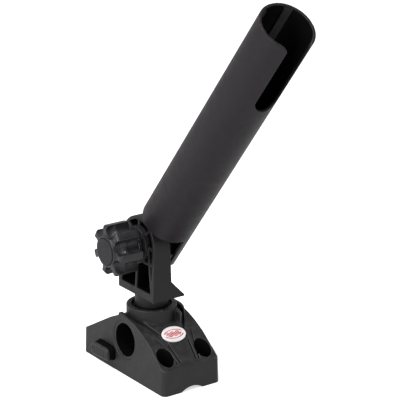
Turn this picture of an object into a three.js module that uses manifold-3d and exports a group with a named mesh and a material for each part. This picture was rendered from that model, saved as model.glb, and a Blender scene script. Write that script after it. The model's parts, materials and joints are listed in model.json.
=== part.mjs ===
// Tube rod holder for a boat: a mounting base with a lock button, a swivel head on a splined post,
// and a rod tube that tilts on the head and is clamped by a lobed hand knob.
// Millimetres, +Z up. The origin is the centre of the swivel axis on the underside of the base,
// +X is the way the rod tube leans, and -Y is the side of the side socket, the button and the knob.
import * as THREE from 'three';
import { mergeVertices } from 'three/addons/utils/BufferGeometryUtils.js';
import Module from 'manifold-3d';

// ---- Driving dimensions ------------------------------------------------------------------

// Clearances
const TOUCH_GAP = 0.3;            // between two pieces that touch on the real object
const SLIDE_GAP = 0.4;            // around pieces that slide or turn
const OVERCUT = 1;                // how far a cutting tool reaches past the face it cuts

// Base block
const BASE_FRONT = 59.5;          // swivel axis to the front end
const BASE_BACK = 63.5;           // swivel axis to the back end
const BASE_WIDTH = 58;
const BASE_CORNER_R = 5;
const FRONT_END_Z = 22.6;         // height of the front end face, with a level lip behind its top
const FRONT_LIP = 3.5;
const BACK_END_Z = 21.2;
const CROWN_STEP_X = -10;         // low step across the crown, where the front slope starts
const FRONT_ARC_R = 80;           // round from the crown into the front slope
const BACK_ARC_R = 36;            // and into the back slope
const BACK_ARC_X = -6;
const SIDE_DRAFT_DEG = 2;         // lean of the two side faces
const BASE_WALL = 3.2;
const NOTCH_WIDTH = 21;           // arched drain notch under each end face
const NOTCH_HEIGHT = 3.4;
const NOTCH_DEPTH = 12;           // how far in from the end face the bottom cover is cut away

// Sockets for the post: one upright, one through the side face
const SOCKET_R = 14.35;
const SOCKET_WALL = 3.4;
const SOCKET_FLOOR_Z = 10.5;      // underside of the upright socket's wall
const COUNTERBORE_STEP = 2.9;     // how much wider than the socket its counterbore is
const COUNTERBORE_R = SOCKET_R + COUNTERBORE_STEP;
const COUNTERBORE_DEPTH = 4.8;
const SIDE_SOCKET_Z = 31.2;
const SIDE_SOCKET_END_Y = 18;
const SIDE_RING_DEPTH = 0.6;

// Top of the block: its back half clears the side socket, and the collar stands on the crown
const CROWN_OVER_RING = 0.35;
const BACK_CROWN_Z = SIDE_SOCKET_Z + COUNTERBORE_R + CROWN_OVER_RING;
const CROWN_STEP = 4.2;
const FRONT_CROWN_Z = BACK_CROWN_Z + CROWN_STEP;
const COLLAR_RISE = 6.2;
const COLLAR_Z = FRONT_CROWN_Z + COLLAR_RISE;
const COLLAR_LAND = 4.2;          // width of the collar's top round the counterbore
const COLLAR_R = COUNTERBORE_R + COLLAR_LAND;
const COLLAR_CHAMFER = 1.2;
const SHOULDER_R = 29;            // round shoulder on the far side of the collar
const SHOULDER_RISE = 1.6;        // above the crown
const SHOULDER_START_Y = 12;

// Four pockets for the deck screws
const POCKET_R = 7.3;
const POCKET_INSET_X = 12.2;      // from each end face
const POCKET_Y = 19;
const POCKET_FLOOR_Z = 9;
const POCKET_WALL = 2;
const DECK_HOLE_R = 2.7;

// Grooves that sweep from beside the collar down the slopes: a wide one along the collar's foot
// and a narrow one outside it, given as distances along the block and from its middle line
const SWEEP_DEPTH = 1.1;
const SWEEP_LEDGE = 6;            // flat ledge kept between the crown's step and the wide sweep
const SWEEP_TOP = [CROWN_STEP_X + SWEEP_LEDGE, 24.5];
const SWEEP_HUG = 0.8;            // of the collar's radius, where the inner edge bends round it
const SWEEP_TUCK = 0.9;           // of the collar's radius, where that edge runs in under it
const SWEEP_TURN = [16, 24.5];
const SWEEP_BEND = [31, 12];
const SWEEP_FOOT = [54, 8.6];
const SWEEP_WIDTH = 1.5;
const OUTER_SWEEP_TOP = [17, 25.2];
const OUTER_SWEEP_TURN = [31, 17.5];
const OUTER_SWEEP_FOOT = [54, 11.4];
const OUTER_SWEEP_WIDTH = 1.2;

// Bottom cover and its screws
const COVER_THICKNESS = 2.5;
const COVER_SCREW_R = 1.5;
const COVER_SCREW_HEAD_R = 2.9;
const COVER_SCREW_HEAD = 1.4;
const COVER_SCREW_LENGTH = 9;
const COVER_BOSS_R = 3.8;
const COVER_END_INSET = 17;       // screws on the middle line, from each end face
const COVER_SIDE_CLEAR = 1.9;     // between the other two screw bosses and the latch plate
const COVER_SIDE_INSET = 7.3;

// Oval badge on the front slope
const BADGE_X = 32.5;
const BADGE_LENGTH = 23;          // across the block
const BADGE_HEIGHT = 15.6;        // along the slope
const BADGE_THICKNESS = 1.2;
const BADGE_SEAT = 0.9;           // depth of its recess

// Lock button, latch plate and springs
const BUTTON_SOCKET_X = 12.65;    // from the rim of the side socket to the middle of the button
const BUTTON_X = -(SOCKET_R + BUTTON_SOCKET_X);
const BUTTON_Z = 13.4;
const BUTTON_LENGTH = 27;
const BUTTON_HEIGHT = 12;
const BUTTON_CORNER_R = 4.5;
const BUTTON_PROUD = 7.5;
const BUTTON_FLANGE = 2;          // both the thickness and the overhang behind the wall
const BUTTON_RIDGE = 1;           // finger grooves in the pad
const BUTTON_RIDGE_PITCH = 3;
const BUTTON_RIDGE_HALF = 3.2;    // half their length
const LATCH_TRAVEL = 3.4;
const LATCH_THICKNESS = 2.6;
const LATCH_RIM = 5;              // metal around the hole
const LATCH_TAB_LENGTH = 16;
const LATCH_TAB_THICKNESS = 2;
const LATCH_TAB_TOP_Z = 17;
const SPRING_TAB_Y = 12;
const SPRING_COIL_R = 2.9;
const SPRING_WIRE = 0.8;
const SPRING_TURNS = 5;
const SPRING_PITCH_X = 12;        // between the two latch springs

// Swivel head and post
const POST_FIT = 0.45;            // play between the post and a socket, on the radius
const POST_R = SOCKET_R - POST_FIT;
const POST_END_Z = 3.4;
const SPLINE_TEETH = 24;
const SPLINE_DEPTH = 1;
const SPLINE_Z0 = 12;
const SPLINE_SEAT = 3.5;          // plain length of the post under the counterbore
const SPLINE_Z1 = COLLAR_Z - COUNTERBORE_DEPTH - SPLINE_SEAT;
const LATCH_GROOVE_DEPTH = 3.1;
const LATCH_GROOVE_R = POST_R - LATCH_GROOVE_DEPTH;
const LATCH_GROOVE_Z = 5.2;
const NECK_STEP = 0.3;            // of the neck past the post
const NECK_R = POST_R + NECK_STEP;
const NECK_FOOT_FIT = 0.6;        // play between the neck's foot and the counterbore
const NECK_FOOT_R = COUNTERBORE_R - NECK_FOOT_FIT;
const NECK_FOOT_THICKNESS = 1.6;
const WEAR_RING_THICKNESS = 1;
const HEAD_HALF_X = 26;
const NECK_HEIGHT = 10.3;         // of the neck that shows above the collar
const HEAD_FLANGE_Z = COLLAR_Z + NECK_HEIGHT;
const HEAD_FLANGE_THICKNESS = 7;
const NECK_LEDGE = 1.8;           // of the flange past the neck, front and back
const HEAD_SIDE_Y = -(NECK_R + NECK_LEDGE);   // open, ribbed face at the flange
const HEAD_SIDE_LEAN = 4;         // how far that face leans in towards the top
const HEAD_SIDE_TOP_Y = HEAD_SIDE_Y + HEAD_SIDE_LEAN;
const HEAD_BACK_Y = 3.2;          // flat face that carries the teeth
const HEAD_WEDGE_Y = NECK_R + NECK_LEDGE;     // sloped foot behind the flat face
const HEAD_WEDGE_HEIGHT = 15;
const HEAD_WEDGE_EDGE = 1.2;
const HEAD_TOP_R = 24;            // round top about the tilt axis
const HEAD_WALL = 3;
const RIB = 2.5;
const CROSS_RIB_DROP = 12.8;      // from the tilt axis to the level rib
const PIVOT_RISE = 44.8;          // from the underside of the flange to the tilt axis
const PIVOT_Z = HEAD_FLANGE_Z + PIVOT_RISE;
const PIVOT_BOSS_R = 16;
const BOLT_R = 4;
const BOLT_HOLE_R = BOLT_R + SLIDE_GAP;

// Face teeth that index the tilt
const TOOTH_COUNT = 24;
const TOOTH_HEIGHT = 1.1;
const TOOTH_WIDTH = 1.4;
const TOOTH_INNER_R = 8.6;
const TOOTH_OUTER_R = PIVOT_BOSS_R - 1;

// Rod tube
const TILT_DEG = 38.4;            // lean of the tube from upright
const TUBE_BORE_R = 20.6;         // takes the butt of a rod
const TUBE_WALL = 2.4;
const TUBE_R = TUBE_BORE_R + TUBE_WALL;
const TUBE_AXIS_Y = 5.8;
const TUBE_START = 28;            // tilt axis to the square-cut lower end
const TUBE_END = 278.5;           // tilt axis to the mouth
const EAR_CUT_DEG = 6;            // the ear is the wall past this angle from the underside
const EAR_R = 24;
const SLOT_HALF_DEG = 27;
const SLOT_LENGTH = 74;
const SLOT_CORNER_R = 5;
const FLOOR_START = 34;
const FLOOR_THICKNESS = 3;
const DRAIN_R = 6;
const RIB_DEG = 145;              // the two long ribs, measured from the underside
const TUBE_RIB_WIDTH = 7;
const TUBE_RIB_HEIGHT = 1.5;

// Pivot bolt, washers and release spring
const HEX_WALL = 2.5;             // of the bolt head round the shank, across the flats
const HEX_FLATS = 2 * (BOLT_R + HEX_WALL);
const HEX_HEIGHT = 5.3;
const HEX_SEAT_Y = 18;
const BOLT_KNOB_REACH = 20.3;     // of the bolt past the back of the knob
const WASHER_R = 10.5;
const THRUST_WASHER_THICKNESS = 1.2;
const KNOB_WASHER_THICKNESS = 1.6;
const RELEASE_WIRE = 1.2;
const RELEASE_PLAY = 1.5;         // from the middle of the wire to the bolt hole and to the pocket wall
const RELEASE_COIL_R = BOLT_HOLE_R + RELEASE_PLAY;
const RELEASE_POCKET_R = RELEASE_COIL_R + RELEASE_PLAY;
const RELEASE_POCKET_DEPTH = 5;
const RELEASE_TURNS = 4;

// Hand knob
const KNOB_R = 22;
const KNOB_LOBES = 7;
const KNOB_HUB_R = 11.5;
const KNOB_HUB_LENGTH = 2.6;
const KNOB_DEPTH = 23.5;
const KNOB_TURN_DEG = 9;          // of the lobes at rest, back from straight up
const KNOB_FACE_R = 13;
const KNOB_FACE_RISE = 1.6;       // of the face past the front of the lobes
const KNOB_EDGE = 1;              // chamfer on the back edge of the lobes
const KNOB_SHOULDER = 3;          // rounding on the front edge of the lobes
const FLUTE_R = 6.3;
const FLUTE_CENTRE_R = 20.8;
const INSERT_WALL = 2.5;
const INSERT_R = BOLT_R + INSERT_WALL;
const INSERT_LENGTH = 15;
const CAP_R = 11.4;
const CAP_THICKNESS = 2.4;
const CAP_PROUD = 0.6;

// ---- Solid modelling helpers -------------------------------------------------------------

const wasm = await Module();
wasm.setup();

// A closed three.js geometry as a solid for joining and cutting.
function solid(geometry) {
  const bare = geometry.clone();
  bare.deleteAttribute('normal');
  bare.deleteAttribute('uv');
  const merged = mergeVertices(bare, 1e-4);
  const index = merged.index.array;
  const kept = [];
  for (let i = 0; i < index.length; i += 3) {
    const [a, b, c] = [index[i], index[i + 1], index[i + 2]];
    if (a !== b && b !== c && c !== a) kept.push(a, b, c);
  }
  return new wasm.Manifold(new wasm.Mesh({
    numProp: 3,
    vertProperties: new Float32Array(merged.attributes.position.array),
    triVerts: new Uint32Array(kept),
  }));
}

// A solid back as a three.js geometry.
function geometryOf(body) {
  const mesh = body.getMesh();
  const geometry = new THREE.BufferGeometry();
  geometry.setAttribute('position', new THREE.BufferAttribute(mesh.vertProperties, 3));
  geometry.setIndex(new THREE.BufferAttribute(mesh.triVerts, 1));
  geometry.computeVertexNormals();
  return geometry;
}

const join = (first, ...rest) => rest.reduce((body, next) => body.add(next), first);
const cut = (first, ...rest) => rest.reduce((body, next) => body.subtract(next), first);

// An upright prism of a plan outline (X, Y) between two heights.
function prismZ(shape, z0, z1, curveSegments = 12) {
  const geometry = new THREE.ExtrudeGeometry(shape, { depth: z1 - z0, bevelEnabled: false, curveSegments });
  geometry.translate(0, 0, z0);
  return solid(geometry);
}

// A prism of a side outline (X, Z) between two Y planes.
function prismY(shape, y0, y1, curveSegments = 12) {
  const geometry = new THREE.ExtrudeGeometry(shape, { depth: y1 - y0, bevelEnabled: false, curveSegments });
  geometry.rotateX(Math.PI / 2);
  geometry.translate(0, y1, 0);
  return solid(geometry);
}

// A prism of an end outline (Y, Z) between two X planes.
function prismX(shape, x0, x1) {
  const geometry = new THREE.ExtrudeGeometry(shape, { depth: x1 - x0, bevelEnabled: false });
  geometry.rotateX(Math.PI / 2);
  geometry.rotateZ(Math.PI / 2);
  geometry.translate(x0, 0, 0);
  return solid(geometry);
}

// A round bar along Z, centred on (x, y).
function barZ(radius, z0, z1, x = 0, y = 0, segments = 32) {
  const geometry = new THREE.CylinderGeometry(radius, radius, z1 - z0, segments);
  geometry.rotateX(Math.PI / 2);
  geometry.translate(x, y, (z0 + z1) / 2);
  return solid(geometry);
}

// A round bar along Y, centred on (x, z).
function barY(radius, y0, y1, x = 0, z = 0, segments = 32) {
  const geometry = new THREE.CylinderGeometry(radius, radius, y1 - y0, segments);
  geometry.translate(x, (y0 + y1) / 2, z);
  return solid(geometry);
}

function block(x0, x1, y0, y1, z0, z1) {
  const geometry = new THREE.BoxGeometry(x1 - x0, y1 - y0, z1 - z0);
  geometry.translate((x0 + x1) / 2, (y0 + y1) / 2, (z0 + z1) / 2);
  return solid(geometry);
}

// A body of revolution about Z from (radius, z) points that start and end on the axis.
function turnedZ(points, segments = 40) {
  const profile = points.map(([r, z]) => new THREE.Vector2(r, z));
  const geometry = new THREE.LatheGeometry(profile, segments);
  geometry.rotateX(Math.PI / 2);
  return solid(geometry);
}

// A rectangle with round corners, centred on (x, y).
function roundedRectangle(length, height, radius, x = 0, y = 0) {
  const [left, right, low, high] = [x - length / 2, x + length / 2, y - height / 2, y + height / 2];
  const shape = new THREE.Shape();
  shape.moveTo(left + radius, low);
  shape.lineTo(right - radius, low);
  shape.absarc(right - radius, low + radius, radius, -Math.PI / 2, 0);
  shape.lineTo(right, high - radius);
  shape.absarc(right - radius, high - radius, radius, 0, Math.PI / 2);
  shape.lineTo(left + radius, high);
  shape.absarc(left + radius, high - radius, radius, Math.PI / 2, Math.PI);
  shape.lineTo(left, low + radius);
  shape.absarc(left + radius, low + radius, radius, Math.PI, Math.PI * 1.5);
  return shape;
}

function polygon(points) {
  return new THREE.Shape(points.map(([x, y]) => new THREE.Vector2(x, y)));
}

// A close-wound helix of round wire along Y, centred on (x, z).
function coilSpring(coilR, wire, turns, y0, y1, x, z) {
  const stepsPerTurn = 12;
  const steps = turns * stepsPerTurn;
  const points = [];
  for (let i = 0; i <= steps; i += 1) {
    const angle = (i / stepsPerTurn) * Math.PI * 2;
    const y = y0 + wire / 2 + ((y1 - y0 - wire) * i) / steps;
    points.push(new THREE.Vector3(x + coilR * Math.cos(angle), y, z + coilR * Math.sin(angle)));
  }
  const section = new THREE.Shape();
  section.absarc(0, 0, wire / 2, 0, Math.PI * 2);
  return new THREE.ExtrudeGeometry(section, {
    steps,
    extrudePath: new THREE.CatmullRomCurve3(points),
    curveSegments: 3,
    bevelEnabled: false,
  });
}

// ---- Assembly groups ---------------------------------------------------------------------

const group = new THREE.Group();
const armGroup = new THREE.Group();       // everything that tilts, in the tube's own frame
armGroup.position.set(0, 0, PIVOT_Z);
armGroup.rotation.y = THREE.MathUtils.degToRad(TILT_DEG);
group.add(armGroup);

const BLACK_NYLON = { color: 0x2c2c2d, roughness: 0.55, metalness: 0 };
const TUBE_PLASTIC = { color: 0x2b282b, roughness: 0.48, metalness: 0 };
const STAINLESS = { color: 0xb9bbbd, roughness: 0.3, metalness: 1 };
const BRASS = { color: 0xb8964a, roughness: 0.35, metalness: 1 };

function addPiece(name, shape, finish, parent = group) {
  const geometry = shape.isBufferGeometry ? shape : geometryOf(shape);
  const piece = new THREE.Mesh(geometry, new THREE.MeshStandardMaterial(finish));
  piece.name = name;
  parent.add(piece);
}

// ---- Base body ---------------------------------------------------------------------------

const halfWidth = BASE_WIDTH / 2;
const innerHalfWidth = halfWidth - BASE_WALL;

// Where a straight slope down to a point leaves the round from the crown.
function slopeTangent(centreX, centreZ, arcR, endX, endZ) {
  const run = endX - centreX;
  const rise = endZ - centreZ;
  const angle = Math.atan2(run, rise) - Math.acos(arcR / Math.hypot(run, rise));
  return { centreX, centreZ, angle };
}

const slopeFootX = BASE_FRONT - FRONT_LIP;
const front = slopeTangent(CROWN_STEP_X, FRONT_CROWN_Z - FRONT_ARC_R, FRONT_ARC_R, slopeFootX, FRONT_END_Z);
const back = slopeTangent(-BACK_ARC_X, BACK_CROWN_Z - BACK_ARC_R, BACK_ARC_R, BASE_BACK, BACK_END_Z);

// Height of the front slope at a distance x in front of the swivel axis, and its steepness.
function frontSlope(x) {
  const sine = Math.max(0, (x - front.centreX) / FRONT_ARC_R);
  if (sine <= Math.sin(front.angle)) {
    return { z: front.centreZ + FRONT_ARC_R * Math.sqrt(1 - sine * sine), angle: Math.asin(sine) };
  }
  const z = FRONT_END_Z + (slopeFootX - x) * Math.tan(front.angle);
  return { z, angle: front.angle };
}

// Side outline of the block, brought in by inset at the ends and lowered by drop at the top.
function baseOutline(inset, drop) {
  const quarter = Math.PI / 2;
  const stepAngle = Math.asin((BACK_ARC_X - CROWN_STEP_X) / BACK_ARC_R);
  const shape = new THREE.Shape();
  shape.moveTo(-BASE_BACK + inset, -OVERCUT * Math.sign(drop));
  shape.lineTo(BASE_FRONT - inset, -OVERCUT * Math.sign(drop));
  shape.lineTo(BASE_FRONT - inset, FRONT_END_Z - drop);
  shape.lineTo(slopeFootX, FRONT_END_Z - drop);
  shape.absarc(front.centreX, front.centreZ - drop, FRONT_ARC_R, quarter - front.angle, quarter);
  shape.absarc(-back.centreX, back.centreZ - drop, BACK_ARC_R, quarter + stepAngle, quarter + back.angle);
  shape.lineTo(-BASE_BACK + inset, BACK_END_Z + inset * Math.tan(back.angle) - drop);
  return shape;
}

const baseLength = BASE_FRONT + BASE_BACK;
const baseMiddleX = (BASE_FRONT - BASE_BACK) / 2;

function basePlan(inset) {
  const radius = Math.max(BASE_CORNER_R - inset, 1);
  return roundedRectangle(baseLength - 2 * inset, BASE_WIDTH - 2 * inset, radius, baseMiddleX);
}

// The same solid with its sides leaning in towards the middle by the draft.
const draftSlope = Math.tan(THREE.MathUtils.degToRad(SIDE_DRAFT_DEG));
function drafted(body) {
  const geometry = geometryOf(body);
  const place = geometry.attributes.position;
  for (let i = 0; i < place.count; i += 1) {
    place.setY(i, place.getY(i) * (1 - (draftSlope * place.getZ(i)) / halfWidth));
  }
  return solid(geometry);
}

const pockets = [];
for (const x of [BASE_FRONT - POCKET_INSET_X, -BASE_BACK + POCKET_INSET_X]) {
  for (const y of [-POCKET_Y, POCKET_Y]) pockets.push({ x, y });
}

const latchHoleR = POST_R + SLIDE_GAP;
const latchHalfX = latchHoleR + LATCH_RIM;
const coverSideX = latchHalfX + COVER_BOSS_R + COVER_SIDE_CLEAR;
const coverSideY = halfWidth - COVER_SIDE_INSET;
const coverScrews = [
  { x: BASE_FRONT - COVER_END_INSET, y: 0 },
  { x: -BASE_BACK + COVER_END_INSET, y: 0 },
  { x: coverSideX, y: -coverSideY },
  { x: coverSideX, y: coverSideY },
];

// Plan outlines of the two grooves on one side of one slope.
function sweepOutlines(direction, side) {
  const at = ([x, y], aside = 0) => [direction * x, side * (y - aside)];
  const wide = new THREE.Shape();
  wide.moveTo(...at(SWEEP_TOP));
  wide.quadraticCurveTo(...at(SWEEP_TURN), ...at(SWEEP_BEND));
  wide.lineTo(...at(SWEEP_FOOT));
  wide.lineTo(...at(SWEEP_FOOT, SWEEP_WIDTH));
  wide.lineTo(...at(SWEEP_BEND, SWEEP_WIDTH));
  wide.quadraticCurveTo(direction * COLLAR_R, side * COLLAR_R * SWEEP_HUG, 0, side * COLLAR_R * SWEEP_TUCK);
  wide.lineTo(direction * SWEEP_TOP[0], side * COLLAR_R * SWEEP_HUG);
  const narrow = new THREE.Shape();
  narrow.moveTo(...at(OUTER_SWEEP_TOP));
  narrow.quadraticCurveTo(...at(OUTER_SWEEP_TURN), ...at(OUTER_SWEEP_FOOT));
  narrow.lineTo(...at(OUTER_SWEEP_FOOT, OUTER_SWEEP_WIDTH));
  narrow.quadraticCurveTo(...at(OUTER_SWEEP_TURN, OUTER_SWEEP_WIDTH), ...at(OUTER_SWEEP_TOP));
  return [wide, narrow];
}

const counterboreFloorZ = COLLAR_Z - COUNTERBORE_DEPTH;
const coverTop = COVER_THICKNESS;
const coverSeat = coverTop + TOUCH_GAP;

function bossesUnderRoof() {
  const socket = barZ(SOCKET_R + SOCKET_WALL, SOCKET_FLOOR_Z, COLLAR_Z);
  const side = barY(SOCKET_R + SOCKET_WALL, -halfWidth, SIDE_SOCKET_END_Y + BASE_WALL, 0, SIDE_SOCKET_Z);
  const pocketWallR = POCKET_R + POCKET_WALL;
  const pocketWalls = pockets.map(({ x, y }) => barZ(pocketWallR, coverSeat, FRONT_CROWN_Z, x, y, 20));
  const screwWalls = coverScrews.map(({ x, y }) => barZ(COVER_BOSS_R, coverSeat, FRONT_CROWN_Z, x, y, 12));
  return join(socket, side, ...pocketWalls, ...screwWalls);
}

function makeBaseBody() {
  const plan = prismZ(basePlan(0), 0, COLLAR_Z, 6);
  const outer = drafted(prismY(baseOutline(0, 0), -halfWidth, halfWidth, 10).intersect(plan));
  const collar = turnedZ([
    [0, FRONT_END_Z],
    [COLLAR_R, FRONT_END_Z],
    [COLLAR_R, COLLAR_Z - COLLAR_CHAMFER],
    [COLLAR_R - COLLAR_CHAMFER, COLLAR_Z],
    [0, COLLAR_Z],
  ], 48);
  const innerPlan = prismZ(basePlan(BASE_WALL), -OVERCUT, COLLAR_Z, 6);
  const roof = prismY(baseOutline(BASE_WALL, BASE_WALL + 1), -halfWidth, halfWidth, 5);
  const hollow = roof.intersect(innerPlan).subtract(bossesUnderRoof());
  const coverRecess = prismZ(basePlan(BASE_WALL), -OVERCUT, coverSeat, 6);

  const grooveFloor = baseOutline(-OVERCUT, SWEEP_DEPTH);
  const underGrooves = prismY(grooveFloor, -halfWidth - OVERCUT, halfWidth + OVERCUT, 10);
  const sweeps = [];
  for (const direction of [1, -1]) {
    for (const side of [-1, 1]) {
      sweeps.push(...sweepOutlines(direction, side).map((outline) => prismZ(outline, 0, COLLAR_Z, 7)));
    }
  }
  const keepCollar = barZ(COLLAR_R, 0, COLLAR_Z + OVERCUT, 0, 0, 48);
  const grooves = cut(join(...sweeps), underGrooves, keepCollar);

  const bore = barZ(SOCKET_R, -OVERCUT, COLLAR_Z + OVERCUT, 0, 0, 36);
  const counterbore = barZ(COUNTERBORE_R, counterboreFloorZ, COLLAR_Z + OVERCUT, 0, 0, 36);
  const sideBore = barY(SOCKET_R, -halfWidth - OVERCUT, SIDE_SOCKET_END_Y, 0, SIDE_SOCKET_Z, 36);
  const ringGeometry = new THREE.CylinderGeometry(COUNTERBORE_R, COUNTERBORE_R, 2 * SIDE_RING_DEPTH, 36);
  ringGeometry.rotateX(-THREE.MathUtils.degToRad(SIDE_DRAFT_DEG));
  ringGeometry.translate(0, -halfWidth + draftSlope * SIDE_SOCKET_Z, SIDE_SOCKET_Z);
  const sideRing = solid(ringGeometry);
  const pocketHoles = pockets.flatMap(({ x, y }) => [
    barZ(POCKET_R, POCKET_FLOOR_Z, FRONT_CROWN_Z, x, y, 24),
    barZ(DECK_HOLE_R, -OVERCUT, FRONT_CROWN_Z, x, y, 12),
  ]);
  const pilotTop = COVER_SCREW_LENGTH + TOUCH_GAP * 3;
  const pilotR = COVER_SCREW_R + TOUCH_GAP;
  const pilots = coverScrews.map(({ x, y }) => barZ(pilotR, -OVERCUT, pilotTop, x, y, 10));
  const buttonHole = prismY(
    roundedRectangle(BUTTON_LENGTH + 2 * SLIDE_GAP, BUTTON_HEIGHT + 2 * SLIDE_GAP,
      BUTTON_CORNER_R + SLIDE_GAP, BUTTON_X, BUTTON_Z),
    -halfWidth - OVERCUT, -innerHalfWidth + OVERCUT, 5);
  const flangeRoom = prismY(
    roundedRectangle(BUTTON_LENGTH + 2 * BUTTON_FLANGE + 2 * SLIDE_GAP,
      BUTTON_HEIGHT + 2 * BUTTON_FLANGE + 2 * SLIDE_GAP, BUTTON_CORNER_R, BUTTON_X, BUTTON_Z),
    -innerHalfWidth,
    -innerHalfWidth + BUTTON_FLANGE + LATCH_TAB_THICKNESS + LATCH_TRAVEL + 3 * TOUCH_GAP, 5);
  const notch = new THREE.Shape();
  const notchHalf = NOTCH_WIDTH / 2;
  const notchR = (notchHalf * notchHalf + NOTCH_HEIGHT * NOTCH_HEIGHT) / (2 * NOTCH_HEIGHT);
  const notchAngle = Math.asin(notchHalf / notchR);
  notch.moveTo(notchHalf, -OVERCUT);
  notch.absarc(0, NOTCH_HEIGHT - notchR, notchR, Math.PI / 2 - notchAngle, Math.PI / 2 + notchAngle);
  notch.lineTo(-notchHalf, -OVERCUT);
  const notches = [
    prismX(notch, BASE_FRONT - BASE_WALL - OVERCUT, BASE_FRONT + OVERCUT),
    prismX(notch, -BASE_BACK - OVERCUT, -BASE_BACK + BASE_WALL + OVERCUT),
  ];
  const farSide = block(-halfWidth, halfWidth, SHOULDER_START_Y, halfWidth, FRONT_END_Z, COLLAR_Z);
  const shoulder = drafted(barZ(SHOULDER_R, FRONT_END_Z, FRONT_CROWN_Z + SHOULDER_RISE, 0, 0, 56)
    .intersect(farSide).intersect(plan));
  const raised = join(outer, shoulder, collar);
  return cut(raised, grooves, hollow, coverRecess, bore, counterbore, sideBore, sideRing,
    ...pocketHoles, ...pilots, buttonHole, flangeRoom, ...notches,
    badgeTool(-BADGE_SEAT, OVERCUT * 3, TOUCH_GAP));
}

// An oval slug that stands square to the front slope, from low to high measured off the slope.
function badgeTool(low, high, margin) {
  const seat = frontSlope(BADGE_X);
  const oval = new THREE.Shape();
  oval.absellipse(0, 0, BADGE_HEIGHT / 2 + margin, BADGE_LENGTH / 2 + margin, 0, Math.PI * 2);
  const geometry = new THREE.ExtrudeGeometry(
    oval, { depth: high - low, bevelEnabled: false, curveSegments: 18 });
  geometry.translate(0, 0, low);
  geometry.rotateY(seat.angle);
  geometry.translate(BADGE_X, 0, seat.z);
  return solid(geometry);
}

addPiece('base_body', makeBaseBody(), BLACK_NYLON);
const badgeFoot = -BADGE_SEAT + TOUCH_GAP;
addPiece('base_badge', badgeTool(badgeFoot, badgeFoot + BADGE_THICKNESS, 0),
  { color: 0xf2efee, roughness: 0.3, metalness: 0 });

// ---- Bottom cover and screws -------------------------------------------------------------

const headRecess = COVER_SCREW_HEAD + TOUCH_GAP;

function makeBottomCover() {
  const plate = prismZ(basePlan(BASE_WALL + TOUCH_GAP), 0, coverTop, 6);
  const deckHoles = pockets.map(({ x, y }) => barZ(DECK_HOLE_R, -OVERCUT, coverTop + OVERCUT, x, y, 12));
  const screwHoles = coverScrews.flatMap(({ x, y }) => [
    barZ(COVER_SCREW_R + TOUCH_GAP, -OVERCUT, coverTop + OVERCUT, x, y, 12),
    barZ(COVER_SCREW_HEAD_R + TOUCH_GAP, -OVERCUT, headRecess, x, y, 16),
  ]);
  const drain = (x0, x1) => block(
    x0, x1, -NOTCH_WIDTH / 2, NOTCH_WIDTH / 2, -OVERCUT, coverTop + OVERCUT);
  const drains = [
    drain(BASE_FRONT - NOTCH_DEPTH, BASE_FRONT),
    drain(-BASE_BACK, -BASE_BACK + NOTCH_DEPTH),
  ];
  return cut(plate, ...deckHoles, ...screwHoles, ...drains);
}

addPiece('bottom_cover', makeBottomCover(), BLACK_NYLON);
coverScrews.forEach(({ x, y }, i) => {
  const headFoot = headRecess - TOUCH_GAP - COVER_SCREW_HEAD + TOUCH_GAP / 2;
  const head = barZ(COVER_SCREW_HEAD_R, headFoot, headFoot + COVER_SCREW_HEAD - TOUCH_GAP / 2, x, y, 16);
  const shank = barZ(COVER_SCREW_R, headFoot, COVER_SCREW_LENGTH, x, y, 10);
  const socket = barZ(COVER_SCREW_R * 0.7, headFoot - OVERCUT, headFoot + COVER_SCREW_HEAD / 2, x, y, 6);
  addPiece(`cover_screw_${i + 1}`, cut(join(head, shank), socket), STAINLESS);
});

// ---- Lock button, latch plate and springs ------------------------------------------------

const buttonFrontY = -halfWidth - BUTTON_PROUD;
const flangeFrontY = -innerHalfWidth + TOUCH_GAP;
const flangeBackY = flangeFrontY + BUTTON_FLANGE;

function makeLockButton() {
  const cap = prismY(roundedRectangle(BUTTON_LENGTH, BUTTON_HEIGHT, BUTTON_CORNER_R, BUTTON_X, BUTTON_Z),
    buttonFrontY, flangeBackY, 5);
  const flangeHeight = BUTTON_HEIGHT + 2 * BUTTON_FLANGE;
  const flangeShape = roundedRectangle(BUTTON_LENGTH + 2 * BUTTON_FLANGE, flangeHeight, BUTTON_CORNER_R,
    BUTTON_X, BUTTON_Z);
  const ridges = [];
  const ridgeFootY = buttonFrontY + BUTTON_RIDGE / 2;
  for (let i = -3; i <= 3; i += 1) {
    const x = BUTTON_X + i * BUTTON_RIDGE_PITCH;
    ridges.push(block(x - BUTTON_RIDGE / 2, x + BUTTON_RIDGE / 2, buttonFrontY - OVERCUT, ridgeFootY,
      BUTTON_Z - BUTTON_RIDGE_HALF, BUTTON_Z + BUTTON_RIDGE_HALF));
  }
  return cut(join(cap, prismY(flangeShape, flangeFrontY, flangeBackY, 5)), ...ridges);
}

const grooveMiddleZ = LATCH_GROOVE_Z + LATCH_THICKNESS / 2 + SLIDE_GAP;
const latchZ0 = grooveMiddleZ - LATCH_THICKNESS / 2;
const latchZ1 = grooveMiddleZ + LATCH_THICKNESS / 2;
const tabY0 = flangeBackY + TOUCH_GAP;
const tabY1 = tabY0 + LATCH_TAB_THICKNESS;
const springTabX0 = BUTTON_X - SPRING_PITCH_X / 2 - SPRING_COIL_R - SPRING_WIRE;
const springTabX1 = BUTTON_X + SPRING_PITCH_X / 2 + SPRING_COIL_R + SPRING_WIRE;

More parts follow.
